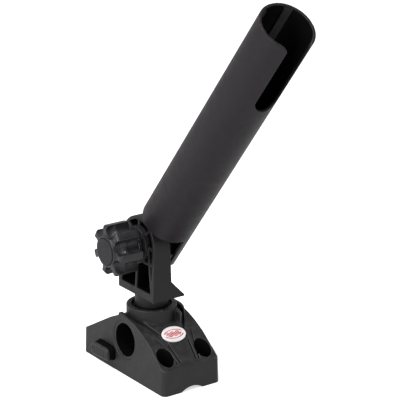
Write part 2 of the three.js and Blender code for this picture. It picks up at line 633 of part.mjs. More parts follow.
function makeLatchPlate() {
  const sheet = block(springTabX0, latchHalfX, tabY0, SPRING_TAB_Y, latchZ0, latchZ1);
  const hoop = barZ(latchHalfX, latchZ0, latchZ1, 0, -LATCH_TRAVEL, 40);
  const pushTab = block(BUTTON_X - LATCH_TAB_LENGTH / 2, BUTTON_X + LATCH_TAB_LENGTH / 2,
    tabY0, tabY1, latchZ0, LATCH_TAB_TOP_Z);
  const springTab = block(springTabX0, springTabX1, SPRING_TAB_Y - LATCH_TAB_THICKNESS, SPRING_TAB_Y,
    latchZ0, latchZ1 + SPRING_COIL_R * 2);
  const hole = barZ(latchHoleR, latchZ0 - OVERCUT, latchZ1 + OVERCUT, 0, -LATCH_TRAVEL, 40);
  return cut(join(sheet, hoop, pushTab, springTab), hole);
}

addPiece('lock_button', makeLockButton(), BLACK_NYLON);
addPiece('latch_plate', makeLatchPlate(), STAINLESS);
const springZ = latchZ1 + SPRING_COIL_R;
['latch_spring_back', 'latch_spring_front'].forEach((name, i) => {
  const x = BUTTON_X + (i - 0.5) * SPRING_PITCH_X;
  addPiece(name, coilSpring(SPRING_COIL_R, SPRING_WIRE, SPRING_TURNS,
    SPRING_TAB_Y + TOUCH_GAP, innerHalfWidth - TOUCH_GAP, x, springZ), STAINLESS);
});

// ---- Swivel head -------------------------------------------------------------------------

const headFlangeTop = HEAD_FLANGE_Z + HEAD_FLANGE_THICKNESS;
const headTopZ = PIVOT_Z + HEAD_TOP_R;

// Front outline of the upright: straight legs that close in to the round top.
function headOutline(inset) {
  const radius = HEAD_TOP_R - inset;
  const halfX = HEAD_HALF_X - inset;
  const footZ = inset > 0 ? headFlangeTop : HEAD_FLANGE_Z;
  const lean = Math.atan2(HEAD_HALF_X - HEAD_TOP_R, PIVOT_Z - headFlangeTop);
  const shape = new THREE.Shape();
  shape.moveTo(-halfX, footZ);
  shape.lineTo(halfX, footZ);
  shape.lineTo(halfX, headFlangeTop);
  shape.absarc(0, PIVOT_Z, radius, lean, Math.PI - lean);
  shape.lineTo(-halfX, headFlangeTop);
  return shape;
}

function radialRib(angleDeg, r0, r1, y0, y1) {
  const geometry = new THREE.BoxGeometry(r1 - r0, y1 - y0, RIB);
  geometry.translate((r0 + r1) / 2, (y0 + y1) / 2, 0);
  geometry.rotateY(-THREE.MathUtils.degToRad(angleDeg));
  geometry.translate(0, 0, PIVOT_Z);
  return solid(geometry);
}

// A ring of low radial teeth on a face at y, standing towards the side given by sign.
function faceTeeth(y, sign, z, turnDeg) {
  const length = TOOTH_OUTER_R - TOOTH_INNER_R;
  const root = 0.4;
  const teeth = [];
  for (let i = 0; i < TOOTH_COUNT; i += 1) {
    const profile = polygon([[-TOOTH_WIDTH / 2, -root], [TOOTH_WIDTH / 2, -root], [0.25, TOOTH_HEIGHT],
      [-0.25, TOOTH_HEIGHT]]);
    const geometry = new THREE.ExtrudeGeometry(profile, { depth: length, bevelEnabled: false });
    geometry.translate(0, 0, TOOTH_INNER_R);
    if (sign < 0) geometry.rotateZ(Math.PI);
    geometry.rotateY(THREE.MathUtils.degToRad(turnDeg + (360 * i) / TOOTH_COUNT));
    geometry.translate(0, y, z);
    teeth.push(solid(geometry));
  }
  return teeth;
}

function splineOutline() {
  const shape = new THREE.Shape();
  const step = (Math.PI * 2) / SPLINE_TEETH;
  for (let i = 0; i < SPLINE_TEETH; i += 1) {
    const rootR = POST_R - SPLINE_DEPTH;
    const corners = [[0, POST_R], [0.5, POST_R], [0.62, rootR], [0.88, rootR]];
    corners.forEach(([share, r], k) => {
      const angle = (i + share) * step;
      if (i === 0 && k === 0) shape.moveTo(r * Math.cos(angle), r * Math.sin(angle));
      else shape.lineTo(r * Math.cos(angle), r * Math.sin(angle));
    });
  }
  return shape;
}

const neckFootZ = counterboreFloorZ + WEAR_RING_THICKNESS + 2 * TOUCH_GAP;

function makeSwivelHead() {
  const section = polygon([
    [HEAD_SIDE_Y, HEAD_FLANGE_Z],
    [HEAD_WEDGE_Y, HEAD_FLANGE_Z],
    [HEAD_WEDGE_Y, HEAD_FLANGE_Z + HEAD_WEDGE_EDGE],
    [HEAD_BACK_Y, HEAD_FLANGE_Z + HEAD_WEDGE_HEIGHT],
    [HEAD_BACK_Y, headTopZ + OVERCUT],
    [HEAD_SIDE_TOP_Y, headTopZ + OVERCUT],
    [HEAD_SIDE_Y, headFlangeTop],
  ]);
  const leaning = prismX(section, -HEAD_HALF_X - OVERCUT, HEAD_HALF_X + OVERCUT);
  const outline = prismY(headOutline(0), HEAD_SIDE_Y - OVERCUT, HEAD_WEDGE_Y + OVERCUT, 20);
  const envelope = outline.intersect(leaning);
  const webY = HEAD_BACK_Y - HEAD_WALL;
  const pocket = prismY(headOutline(HEAD_WALL), HEAD_SIDE_Y - OVERCUT * 2, webY, 20);

  const ribY = HEAD_SIDE_Y - OVERCUT;
  const legX = HEAD_HALF_X - HEAD_WALL / 2;
  const crossRibZ = PIVOT_Z - CROSS_RIB_DROP;
  const ribs = [
    block(-RIB / 2, RIB / 2, ribY, webY + OVERCUT, headFlangeTop - OVERCUT, PIVOT_Z),
    block(-legX, legX, ribY, webY + OVERCUT, crossRibZ - RIB / 2, crossRibZ + RIB / 2),
    ...[0, 45, 90, 135, 180].map((angle) => (
      radialRib(angle, PIVOT_BOSS_R - OVERCUT, HEAD_TOP_R - HEAD_WALL / 2, ribY, webY + OVERCUT))),
  ];
  for (const side of [-1, 1]) {
    const top = [side * (PIVOT_BOSS_R - RIB / 2), PIVOT_Z];
    const foot = [side * (HEAD_HALF_X - HEAD_WALL), headFlangeTop];
    ribs.push(prismY(polygon([
      [top[0] - RIB / 2, top[1]],
      [foot[0] - RIB / 2, foot[1]],
      [foot[0] + RIB / 2, foot[1]],
      [top[0] + RIB / 2, top[1]],
    ]), ribY, webY + OVERCUT));
  }
  const ribbed = join(...ribs).intersect(envelope);
  const pivotBoss = barY(PIVOT_BOSS_R, HEAD_SIDE_Y, webY + OVERCUT, 0, PIVOT_Z, 40);

  const neck = join(barZ(NECK_R, neckFootZ, HEAD_FLANGE_Z + OVERCUT, 0, 0, 40),
    barZ(NECK_FOOT_R, neckFootZ, neckFootZ + NECK_FOOT_THICKNESS, 0, 0, 40));
  const grooveTop = grooveMiddleZ + LATCH_THICKNESS / 2 + SLIDE_GAP;
  const post = turnedZ([
    [0, POST_END_Z],
    [POST_R - 0.8, POST_END_Z],
    [POST_R, POST_END_Z + 0.8],
    [POST_R, LATCH_GROOVE_Z],
    [LATCH_GROOVE_R, LATCH_GROOVE_Z],
    [LATCH_GROOVE_R, grooveTop],
    [POST_R, grooveTop],
    [POST_R, SPLINE_Z0],
    [POST_R - SPLINE_DEPTH, SPLINE_Z0 + 1],
    [POST_R - SPLINE_DEPTH, SPLINE_Z1 - 1],
    [POST_R, SPLINE_Z1],
    [POST_R, HEAD_FLANGE_Z + OVERCUT],
    [0, HEAD_FLANGE_Z + OVERCUT],
  ], 40);
  const splines = prismZ(splineOutline(), SPLINE_Z0, SPLINE_Z1, 1);

  const boltHole = barY(BOLT_HOLE_R, HEAD_SIDE_Y - OVERCUT, HEAD_BACK_Y + OVERCUT * 3, 0, PIVOT_Z, 24);
  const springPocket = barY(RELEASE_POCKET_R, HEAD_BACK_Y - RELEASE_POCKET_DEPTH, HEAD_BACK_Y + OVERCUT * 3,
    0, PIVOT_Z, 24);
  const teeth = faceTeeth(HEAD_BACK_Y, 1, PIVOT_Z, TILT_DEG + 180 / TOOTH_COUNT);
  return cut(join(envelope.subtract(pocket), ribbed, pivotBoss, neck, post, splines, ...teeth),
    boltHole, springPocket);
}

addPiece('swivel_head', makeSwivelHead(), BLACK_NYLON);
addPiece('post_wear_ring', cut(
  barZ(COUNTERBORE_R - SLIDE_GAP, counterboreFloorZ + TOUCH_GAP,
    counterboreFloorZ + TOUCH_GAP + WEAR_RING_THICKNESS, 0, 0, 40),
  barZ(POST_R + SLIDE_GAP, 0, COLLAR_Z, 0, 0, 40),
), { color: 0xd8d6cf, roughness: 0.5, metalness: 0 });

// ---- Rod tube, in the frame of the arm: Z along the tube, +X its underside ----------------

const armFaceY = HEAD_BACK_Y + 2 * TOOTH_HEIGHT + SLIDE_GAP;

function tubeBar(radius, z0, z1, segments = 64) {
  return barZ(radius, z0, z1, 0, TUBE_AXIS_Y, segments);
}

function makeRodTube() {
  const shell = tubeBar(TUBE_R, TUBE_START, TUBE_END).subtract(
    tubeBar(TUBE_BORE_R, TUBE_START - OVERCUT, TUBE_END + OVERCUT));

  // Ear: the wall on the far side runs on past the tilt axis and ends in a round.
  const earSkin = tubeBar(TUBE_R, -EAR_R - OVERCUT, TUBE_START + OVERCUT).subtract(
    tubeBar(TUBE_BORE_R, -EAR_R - 2 * OVERCUT, TUBE_START + 2 * OVERCUT));
  const earCutY = TUBE_AXIS_Y + TUBE_R * Math.sin(THREE.MathUtils.degToRad(EAR_CUT_DEG));
  const stadium = new THREE.Shape();
  stadium.moveTo(EAR_R, TUBE_START + OVERCUT);
  stadium.lineTo(-EAR_R, TUBE_START + OVERCUT);
  stadium.absarc(0, 0, EAR_R, Math.PI, Math.PI * 2);
  const earWindow = prismY(stadium, earCutY, TUBE_AXIS_Y + TUBE_R + OVERCUT, 20);
  const ear = earSkin.intersect(earWindow);
  const boss = barY(PIVOT_BOSS_R, armFaceY, TUBE_AXIS_Y + TUBE_R, 0, 0, 40).intersect(
    tubeBar((TUBE_R + TUBE_BORE_R) / 2, -EAR_R - OVERCUT, TUBE_START));

  // Butt stop: a floor with a drain hole just above the lower end.
  const floor = tubeBar(TUBE_BORE_R + OVERCUT, FLOOR_START, FLOOR_START + FLOOR_THICKNESS).subtract(
    tubeBar(DRAIN_R, FLOOR_START - OVERCUT, FLOOR_START + FLOOR_THICKNESS + OVERCUT, 24));

  const ribReach = (TUBE_R + TUBE_BORE_R) / 2;
  const ribs = [-1, 1].map((side) => {
    const geometry = new THREE.BoxGeometry(ribReach - TUBE_BORE_R + TUBE_RIB_HEIGHT, TUBE_RIB_WIDTH,
      TUBE_END - FLOOR_START - OVERCUT);
    geometry.translate(ribReach - (ribReach - TUBE_BORE_R + TUBE_RIB_HEIGHT) / 2, 0,
      (TUBE_END + FLOOR_START - OVERCUT) / 2);
    geometry.rotateZ(THREE.MathUtils.degToRad(side * RIB_DEG));
    geometry.translate(0, TUBE_AXIS_Y, 0);
    return solid(geometry);
  });

  // Reel slot: open at the mouth, with a round bottom and rounded corners at the mouth.
  const slotHalf = TUBE_R * Math.sin(THREE.MathUtils.degToRad(SLOT_HALF_DEG));
  const slotFoot = TUBE_END - SLOT_LENGTH + slotHalf;
  const corner = SLOT_CORNER_R;
  const slot = new THREE.Shape();
  slot.absarc(0, slotFoot, slotHalf, -Math.PI, 0);
  slot.lineTo(slotHalf, TUBE_END - corner);
  slot.absarc(slotHalf + corner, TUBE_END - corner, corner, Math.PI, Math.PI / 2, true);
  slot.lineTo(slotHalf + corner, TUBE_END + OVERCUT);
  slot.lineTo(-slotHalf - corner, TUBE_END + OVERCUT);
  slot.lineTo(-slotHalf - corner, TUBE_END);
  slot.absarc(-slotHalf - corner, TUBE_END - corner, corner, Math.PI / 2, 0, true);
  const slotGeometry = new THREE.ExtrudeGeometry(slot, { depth: TUBE_R + OVERCUT, bevelEnabled: false,
    curveSegments: 16 });
  slotGeometry.rotateX(Math.PI / 2);       // outline upright, cut along -Y
  slotGeometry.rotateZ(Math.PI / 2);       // and turned to cut along +X
  slotGeometry.translate(0, TUBE_AXIS_Y, 0);
  const slotCut = solid(slotGeometry);

  const boltHole = barY(BOLT_HOLE_R, armFaceY - OVERCUT * 3, HEX_SEAT_Y + OVERCUT, 0, 0, 24);
  const hexR = (HEX_FLATS / 2 + SLIDE_GAP) / Math.cos(Math.PI / 6);
  const hexPocket = barY(hexR, HEX_SEAT_Y, TUBE_AXIS_Y + TUBE_R + OVERCUT, 0, 0, 6);
  const springFloorY = armFaceY + RELEASE_POCKET_DEPTH;
  const springPocket = barY(RELEASE_POCKET_R, armFaceY - OVERCUT * 3, springFloorY, 0, 0, 24);
  const teeth = faceTeeth(armFaceY, -1, 0, 0);
  return cut(join(shell, ear, boss, floor, ...ribs, ...teeth), slotCut, boltHole, hexPocket, springPocket);
}

addPiece('rod_tube', makeRodTube(), TUBE_PLASTIC, armGroup);

// ---- Pivot bolt, washers and release spring ----------------------------------------------

const boltHeadY = HEX_SEAT_Y + TOUCH_GAP;
const thrustY1 = HEAD_SIDE_Y - TOUCH_GAP;
const thrustY0 = thrustY1 - THRUST_WASHER_THICKNESS;
const knobWasherY1 = thrustY0 - TOUCH_GAP;
const knobWasherY0 = knobWasherY1 - KNOB_WASHER_THICKNESS;
const knobBackY = knobWasherY0 - TOUCH_GAP;
addPiece('pivot_bolt', join(
  barY(HEX_FLATS / 2 / Math.cos(Math.PI / 6), boltHeadY, boltHeadY + HEX_HEIGHT, 0, 0, 6),
  barY(BOLT_R, knobBackY - BOLT_KNOB_REACH, boltHeadY + OVERCUT, 0, 0, 20),
), STAINLESS, armGroup);

const releaseY0 = HEAD_BACK_Y - RELEASE_POCKET_DEPTH + TOUCH_GAP;
const releaseY1 = armFaceY + RELEASE_POCKET_DEPTH - TOUCH_GAP;
addPiece('release_spring',
  coilSpring(RELEASE_COIL_R, RELEASE_WIRE, RELEASE_TURNS, releaseY0, releaseY1, 0, 0),
  STAINLESS, armGroup);

function washer(radius, holeR, y0, y1) {
  return cut(barY(radius, y0, y1, 0, 0, 36), barY(holeR, y0 - OVERCUT, y1 + OVERCUT, 0, 0, 24));
}

addPiece('thrust_washer', washer(WASHER_R, BOLT_HOLE_R, thrustY0, thrustY1),
  { color: 0xd8d6cf, roughness: 0.5, metalness: 0 }, armGroup);
addPiece('knob_washer', washer(WASHER_R - 1, BOLT_HOLE_R, knobWasherY0, knobWasherY1), STAINLESS, armGroup);

// ---- Hand knob: modelled along its own axis, then laid along -Y ---------------------------

const knobGroup = new THREE.Group();
knobGroup.position.set(0, knobBackY, PIVOT_Z);
knobGroup.rotation.x = Math.PI / 2;
group.add(knobGroup);

const knobFrontZ = KNOB_HUB_LENGTH + KNOB_DEPTH;
const insertEndZ = OVERCUT + INSERT_LENGTH;

function makeKnobBody() {
  const lobeFrontZ = knobFrontZ - KNOB_FACE_RISE;
  const roundingMiddle = KNOB_SHOULDER * (1 - Math.SQRT1_2);
  const blank = turnedZ([
    [0, 0],
    [KNOB_HUB_R, 0],
    [KNOB_HUB_R, KNOB_HUB_LENGTH],
    [KNOB_R - KNOB_EDGE, KNOB_HUB_LENGTH],
    [KNOB_R, KNOB_HUB_LENGTH + KNOB_EDGE],
    [KNOB_R, lobeFrontZ - KNOB_SHOULDER],
    [KNOB_R - roundingMiddle, lobeFrontZ - roundingMiddle],
    [KNOB_R - KNOB_SHOULDER, lobeFrontZ],
    [KNOB_FACE_R + KNOB_FACE_RISE / 2, lobeFrontZ],
    [KNOB_FACE_R, knobFrontZ],
    [0, knobFrontZ],
  ], 42);
  const flutes = [];
  for (let i = 0; i < KNOB_LOBES; i += 1) {
    const turn = THREE.MathUtils.degToRad(90 + KNOB_TURN_DEG);
    const angle = turn + ((i + 0.5) * Math.PI * 2) / KNOB_LOBES;
    flutes.push(barZ(FLUTE_R, KNOB_HUB_LENGTH - OVERCUT, knobFrontZ + OVERCUT,
      FLUTE_CENTRE_R * Math.cos(angle), FLUTE_CENTRE_R * Math.sin(angle), 16));
  }
  const insertHole = barZ(INSERT_R + TOUCH_GAP, -OVERCUT, insertEndZ + TOUCH_GAP, 0, 0, 6);
  const boltWell = barZ(BOLT_HOLE_R, -OVERCUT, knobFrontZ + OVERCUT, 0, 0, 24);
  const capSeat = barZ(CAP_R + TOUCH_GAP, knobFrontZ - CAP_THICKNESS + CAP_PROUD - TOUCH_GAP,
    knobFrontZ + OVERCUT, 0, 0, 40);
  return cut(blank, ...flutes, insertHole, boltWell, capSeat);
}

addPiece('knob_body', makeKnobBody(), BLACK_NYLON, knobGroup);
addPiece('knob_insert', cut(barZ(INSERT_R, OVERCUT, insertEndZ, 0, 0, 6),
  barZ(BOLT_R + TOUCH_GAP, 0, insertEndZ + OVERCUT, 0, 0, 20)), BRASS, knobGroup);
addPiece('knob_cap', turnedZ([
  [0, knobFrontZ - CAP_THICKNESS + CAP_PROUD],
  [CAP_R, knobFrontZ - CAP_THICKNESS + CAP_PROUD],
  [CAP_R, knobFrontZ + CAP_PROUD / 2],
  [CAP_R - 0.8, knobFrontZ + CAP_PROUD],
  [0, knobFrontZ + CAP_PROUD],
], 40), { color: 0x38353a, roughness: 0.4, metalness: 0 }, knobGroup);

export default group;
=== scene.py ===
import json
import math

import bmesh
import bpy
from mathutils import Matrix, Vector


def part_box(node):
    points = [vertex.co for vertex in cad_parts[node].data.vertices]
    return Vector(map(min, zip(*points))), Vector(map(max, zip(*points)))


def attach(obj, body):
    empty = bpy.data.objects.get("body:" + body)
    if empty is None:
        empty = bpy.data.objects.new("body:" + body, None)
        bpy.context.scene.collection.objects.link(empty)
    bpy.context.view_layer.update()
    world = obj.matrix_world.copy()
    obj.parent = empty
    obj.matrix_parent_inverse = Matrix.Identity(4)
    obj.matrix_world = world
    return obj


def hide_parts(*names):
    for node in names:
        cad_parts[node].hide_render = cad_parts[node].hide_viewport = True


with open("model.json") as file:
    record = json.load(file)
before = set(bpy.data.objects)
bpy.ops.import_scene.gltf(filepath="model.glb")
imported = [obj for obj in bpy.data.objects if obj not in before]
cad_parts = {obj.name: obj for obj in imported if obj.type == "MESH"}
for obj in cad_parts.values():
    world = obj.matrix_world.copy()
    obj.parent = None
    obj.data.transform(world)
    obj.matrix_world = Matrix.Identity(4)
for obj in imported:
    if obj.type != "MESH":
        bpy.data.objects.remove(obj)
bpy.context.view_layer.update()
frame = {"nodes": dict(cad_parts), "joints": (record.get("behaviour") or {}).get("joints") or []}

# ---- Floor, light and camera: a plain white sweep in a softly lit studio -----------------
# A large soft disk light stands in front of the knob side. A smaller one above it picks out
# the rounded shoulders of the plastic, and a white surround fills the shadows.
FLOOR_HALF, FLOOR_DROP, FLOOR_WHITE = 6.0, 0.0002, 0.92
FLOOR_LIT, FLOOR_SEEN = 0.05, 0.62
SURROUND_LIT, SURROUND_SEEN = 0.58, 1.0


def grey(value):
    return (value, value, value, 1)


def lit_or_seen(tree, lit, seen):
    ray = tree.nodes.new("ShaderNodeLightPath").outputs["Is Camera Ray"]
    choice = tree.nodes.new("ShaderNodeMix")
    choice.data_type = "RGBA"
    choice.inputs[6].default_value = grey(lit)
    choice.inputs[7].default_value = grey(seen)
    tree.links.new(ray, choice.inputs["Factor"])
    return choice.outputs[2]


floor_mesh = bpy.data.meshes.new("floor")
floor_mesh.from_pydata(
    [(x * FLOOR_HALF, y * FLOOR_HALF, -FLOOR_DROP) for x, y in ((-1, -1), (1, -1), (1, 1), (-1, 1))],
    [], [(0, 1, 2, 3)])
floor = bpy.data.objects.new("floor", floor_mesh)
bpy.context.scene.collection.objects.link(floor)

floor_paint = bpy.data.materials.new("white_sweep")
floor_paint.use_nodes = True
paint = floor_paint.node_tree.nodes["Principled BSDF"]
paint.inputs["Base Color"].default_value = grey(FLOOR_WHITE)
paint.inputs["Roughness"].default_value = 0.9
paint.inputs["Specular IOR Level"].default_value = 0.1
glow = lit_or_seen(floor_paint.node_tree, FLOOR_LIT, FLOOR_SEEN)
floor_paint.node_tree.links.new(glow, paint.inputs["Emission Color"])
paint.inputs["Emission Strength"].default_value = 1.0
floor_mesh.materials.append(floor_paint)

surround = bpy.data.worlds.new("white_surround")
surround.use_nodes = True
background = surround.node_tree.nodes["Background"]
backdrop = lit_or_seen(surround.node_tree, SURROUND_LIT, SURROUND_SEEN)
surround.node_tree.links.new(backdrop, background.inputs["Color"])
background.inputs["Strength"].default_value = 1.0
bpy.context.scene.world = surround
bpy.context.scene.view_settings.view_transform = "Standard"

AIM = Vector((0.07029, 0.0, 0.16986))
KEY_PLACE, KEY_SIZE, KEY_POWER = (0.25, -1.6, 0.9), 1.0, 20
TOP_PLACE, TOP_SIZE, TOP_POWER = (0.15, -0.5, 1.5), 0.32, 9


def soft_light(name, place, size, power):
    lamp = bpy.data.lights.new(name, "AREA")
    lamp.shape = "DISK"
    lamp.size = size
    lamp.energy = power
    stand = bpy.data.objects.new(name, lamp)
    bpy.context.scene.collection.objects.link(stand)
    stand.location = Vector(place)
    stand.rotation_euler = (AIM - stand.location).to_track_quat("-Z", "Y").to_euler()


soft_light("key_light", KEY_PLACE, KEY_SIZE, KEY_POWER)
soft_light("top_light", TOP_PLACE, TOP_SIZE, TOP_POWER)

AZIMUTH = math.radians(54.4)
ELEVATION = math.radians(18.93)
DISTANCE = 1.6166
LENS, SENSOR = 181.8, 36
camera_data = bpy.data.cameras.new("camera")
camera_data.lens = LENS
camera_data.sensor_width = SENSOR
camera = bpy.data.objects.new("camera", camera_data)
bpy.context.scene.collection.objects.link(camera)
camera.location = AIM + DISTANCE * Vector((
    math.sin(AZIMUTH) * math.cos(ELEVATION), -math.cos(AZIMUTH) * math.cos(ELEVATION), math.sin(ELEVATION)))
camera.rotation_euler = (AIM - camera.location).to_track_quat("-Z", "Y").to_euler()
bpy.context.scene.camera = camera

# ---- Base: black glass-filled nylon, moulded in one piece with a fine grain --------------
# It screws to the deck through four round pockets. The round collar on its crown takes the
# swivel post, a second socket is in its side, and swept grooves run down both slopes.
MM = 0.001


def box_mm(node):
    low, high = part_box(node)
    return low / MM, high / MM


def arc(x, y, radius, start, end, steps=24):
    turn = [math.radians(start + (end - start) * i / steps) for i in range(steps + 1)]
    return [(x + radius * math.cos(a), y + radius * math.sin(a)) for a in turn]


def circle(x, y, radius, steps=96):
    return arc(x, y, radius, 0, 360, steps)[:-1]


def sweep_between(a, turn, b, steps=24):
    points = []
    for i in range(steps + 1):
        t = i / steps
        points.append(tuple((1 - t) ** 2 * a[k] + 2 * t * (1 - t) * turn[k] + t * t * b[k] for k in (0, 1)))
    return points


def rounded_box(x0, x1, y0, y1, radius, steps=12):
    return (arc(x1 - radius, y0 + radius, radius, -90, 0, steps)
            + arc(x1 - radius, y1 - radius, radius, 0, 90, steps)
            + arc(x0 + radius, y1 - radius, radius, 90, 180, steps)
            + arc(x0 + radius, y0 + radius, radius, 180, 270, steps))


def shape(points, faces):
    mesh = bpy.data.meshes.new("blank")
    work = bmesh.new()
    corners = [work.verts.new(p) for p in points]
    for face in faces:
        work.faces.new([corners[i] for i in face])
    bmesh.ops.remove_doubles(work, verts=work.verts, dist=1e-5)
    bmesh.ops.dissolve_degenerate(work, dist=1e-6, edges=work.edges)
    bmesh.ops.recalc_face_normals(work, faces=work.faces)
    work.to_mesh(mesh)
    work.free()
    piece = bpy.data.objects.new("blank", mesh)
    bpy.context.scene.collection.objects.link(piece)
    return piece


def prism(outline, low, high, along="Z"):
    places = {"X": lambda a, b, c: (c, a, b), "Y": lambda a, b, c: (a, c, b), "Z": lambda a, b, c: (a, b, c)}
    place = places[along]
    n = len(outline)
    points = [place(a, b, c) for c in (low, high) for a, b in outline]
    faces = [(i, (i + 1) % n, n + (i + 1) % n, n + i) for i in range(n)]
    return shape(points, faces + [tuple(range(n)), tuple(range(n, 2 * n))])


def bar(radius, low, high, a=0, b=0, along="Z", steps=96):
    return prism(circle(a, b, radius, steps), low, high, along)


def block(x0, x1, y0, y1, z0, z1):
    return prism([(x0, y0), (x1, y0), (x1, y1), (x0, y1)], z0, z1)


def turned(profile, steps=128):
    points, rings = [], []
    for r, z in profile:
        if r == 0:
            rings.append([len(points)] * steps)
            points.append((0, 0, z))
        else:
            rings.append(list(range(len(points), len(points) + steps)))
            points += [(r * math.cos(math.tau * i / steps), r * math.sin(math.tau * i / steps), z)
                       for i in range(steps)]
    faces = []
    for low, high in zip(rings, rings[1:]):
        for i in range(steps):
            face = []
            for corner in (low[i], low[(i + 1) % steps], high[(i + 1) % steps], high[i]):
                if corner not in face:
                    face.append(corner)
            if len(face) > 2:
                faces.append(face)
    return shape(points, faces)


def applied(piece):
    graph = bpy.context.evaluated_depsgraph_get()
    mesh = bpy.data.meshes.new_from_object(piece.evaluated_get(graph))
    piece.modifiers.clear()
    piece.data = mesh
    return piece


def combine(piece, tools, operation):
    for tool in tools:
        step = piece.modifiers.new("combine", "BOOLEAN")
        step.operation = operation
        step.solver = "MANIFOLD"
        step.object = tool
    applied(piece)
    for tool in tools:
        bpy.data.objects.remove(tool)
    return piece


def join(piece, *tools):
    return combine(piece, tools, "UNION")


def cut(piece, *tools):
    return combine(piece, tools, "DIFFERENCE")


def common(piece, *tools):
    return combine(piece, tools, "INTERSECT")


def moved(piece, matrix):
    piece.data.transform(matrix)
    return piece


def soften(piece, grain, rounds, faces):
    remesh = piece.modifiers.new("even", "REMESH")
    remesh.mode = "VOXEL"
    remesh.voxel_size = grain
    relax = piece.modifiers.new("soft", "SMOOTH")
    relax.factor = 0.5
    relax.iterations = rounds
    applied(piece)
    count = sum(len(p.vertices) - 2 for p in piece.data.polygons)
    if count > faces:
        thin = piece.modifiers.new("thin", "DECIMATE")
        thin.ratio = faces / count
        applied(piece)
    return piece


def faces_where(piece, inside):
    return [int(inside(face.center)) for face in piece.data.polygons]


def finished(piece, name, body, material, nodes=(), deep=None):
    piece.data.transform(Matrix.Scale(MM, 4))
    piece.name = piece.data.name = name
    for face in piece.data.polygons:
        face.use_smooth = True
    piece.data.materials.clear()
    piece.data.materials.append(material)
    # Faces flagged 1 take the near-black painted shade, and faces flagged 2 the lighter painted shade of the
    # grooves.
    if deep:
        piece.data.materials.append(painted_shade_nylon)
        if 2 in deep:
            piece.data.materials.append(groove_painted_shade_nylon)
        piece.data.polygons.foreach_set("material_index", deep)
    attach(piece, body)
    if nodes:
        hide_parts(*nodes)
    return piece


def new_group(name, inputs, outputs):
    group = bpy.data.node_groups.new(name, "ShaderNodeTree")
    for label, kind, value in inputs:
        socket = group.interface.new_socket(label, in_out="INPUT", socket_type=kind)
        socket.default_value = value
    for label, kind in outputs:
        group.interface.new_socket(label, in_out="OUTPUT", socket_type=kind)
    return group


def node(tree, kind, sockets=None, **settings):
    made = tree.nodes.new("ShaderNode" + kind)
    for key, value in settings.items():
        setattr(made, key, value)
    for key, value in (sockets or {}).items():
        if isinstance(value, bpy.types.NodeSocket):
            tree.links.new(value, made.inputs[key])
        else:
            made.inputs[key].default_value = value
    return made


def ramp(tree, value, low, high, out_low=0.0, out_high=1.0):
    return node(tree, "MapRange", {"Value": value, "From Min": low, "From Max": high,
                                   "To Min": out_low, "To Max": out_high}).outputs["Result"]


def sums(tree, operation, a, b):
    return node(tree, "Math", {0: a, 1: b}, operation=operation).outputs[0]


def mixed(tree, factor, first, second, blend="MIX"):
    colours = {"Factor": factor, 6: first, 7: second}
    return node(tree, "Mix", colours, data_type="RGBA", blend_type=blend).outputs[2]


def shaded(tree, colour, shade):
    tone = node(tree, "CombineColor", {0: shade, 1: shade, 2: shade}).outputs[0]
    return mixed(tree, 1.0, colour, tone, "MULTIPLY")


def coated(name, group, settings, relief, depth):
    material = bpy.data.materials.new(name)
    material.use_nodes = True
    tree = material.node_tree
    paint = tree.nodes["Principled BSDF"]
    coat = node(tree, "Group", settings, node_tree=group)
    bump = node(tree, "Bump", {"Height": coat.outputs["Height"], "Strength": relief, "Distance": depth})
    tree.links.new(coat.outputs["Colour"], paint.inputs["Base Color"])
    tree.links.new(coat.outputs["Roughness"], paint.inputs["Roughness"])
    tree.links.new(bump.outputs["Normal"], paint.inputs["Normal"])
    return material


# Moulded skin: a fine spark-eroded grain, faint flow mottling, edges worn paler, and dust that
# settles on what faces up.
DUST_COLOUR = (0.16, 0.155, 0.15, 1)
GRAIN_DEPTH = 0.00012
skin = new_group(
    "moulded_skin",
    [("Colour", "NodeSocketColor", grey(0.02)), ("Worn Colour", "NodeSocketColor", grey(0.09)),
     ("Roughness", "NodeSocketFloat", 0.5), ("Wear", "NodeSocketFloat", 0.5),
     ("Dust", "NodeSocketFloat", 0.3)],
    [("Colour", "NodeSocketColor"), ("Roughness", "NodeSocketFloat"), ("Height", "NodeSocketFloat")])
gin = skin.nodes.new("NodeGroupInput")
gout = skin.nodes.new("NodeGroupOutput")
place = node(skin, "TexCoord").outputs["Object"]
surface = node(skin, "NewGeometry")
mottle = node(skin, "TexNoise", {"Vector": place, "Scale": 45.0, "Detail": 5.0, "Roughness": 0.6}).outputs[0]
grain = node(skin, "TexNoise", {"Vector": place, "Scale": 1700.0, "Detail": 3.0, "Roughness": 0.7}).outputs[0]
patch = node(skin, "TexNoise", {"Vector": place, "Scale": 160.0, "Detail": 6.0, "Roughness": 0.65}).outputs[0]
flow = node(skin, "Mapping", {"Vector": place, "Scale": (260.0, 260.0, 9.0), "Rotation": (0.3, 0.5, 0.2)})
scratch = node(skin, "TexNoise", {"Vector": flow.outputs[0], "Scale": 5.0, "Detail": 2.0}).outputs[0]
fine_line = ramp(skin, scratch, 0.66, 0.72)
edge = ramp(skin, surface.outputs["Pointiness"], 0.515, 0.58)
worn = sums(skin, "MULTIPLY", edge, ramp(skin, patch, 0.35, 0.65, 0.25, 1.0))
worn = sums(skin, "MULTIPLY", worn, gin.outputs["Wear"])
up = node(skin, "SeparateXYZ", {"Vector": surface.outputs["Normal"]}).outputs["Z"]
settled = sums(skin, "MULTIPLY", ramp(skin, up, 0.35, 1.0), ramp(skin, patch, 0.4, 0.75))
settled = sums(skin, "MULTIPLY", settled, gin.outputs["Dust"])
shade = ramp(skin, mottle, 0.25, 0.75, 0.82, 1.2)
mottled = shaded(skin, gin.outputs["Colour"], shade)
with_wear = mixed(skin, worn, mottled, gin.outputs["Worn Colour"])
with_dust = mixed(skin, settled, with_wear, DUST_COLOUR)
rough = sums(skin, "ADD", gin.outputs["Roughness"], ramp(skin, patch, 0.3, 0.7, -0.05, 0.07))
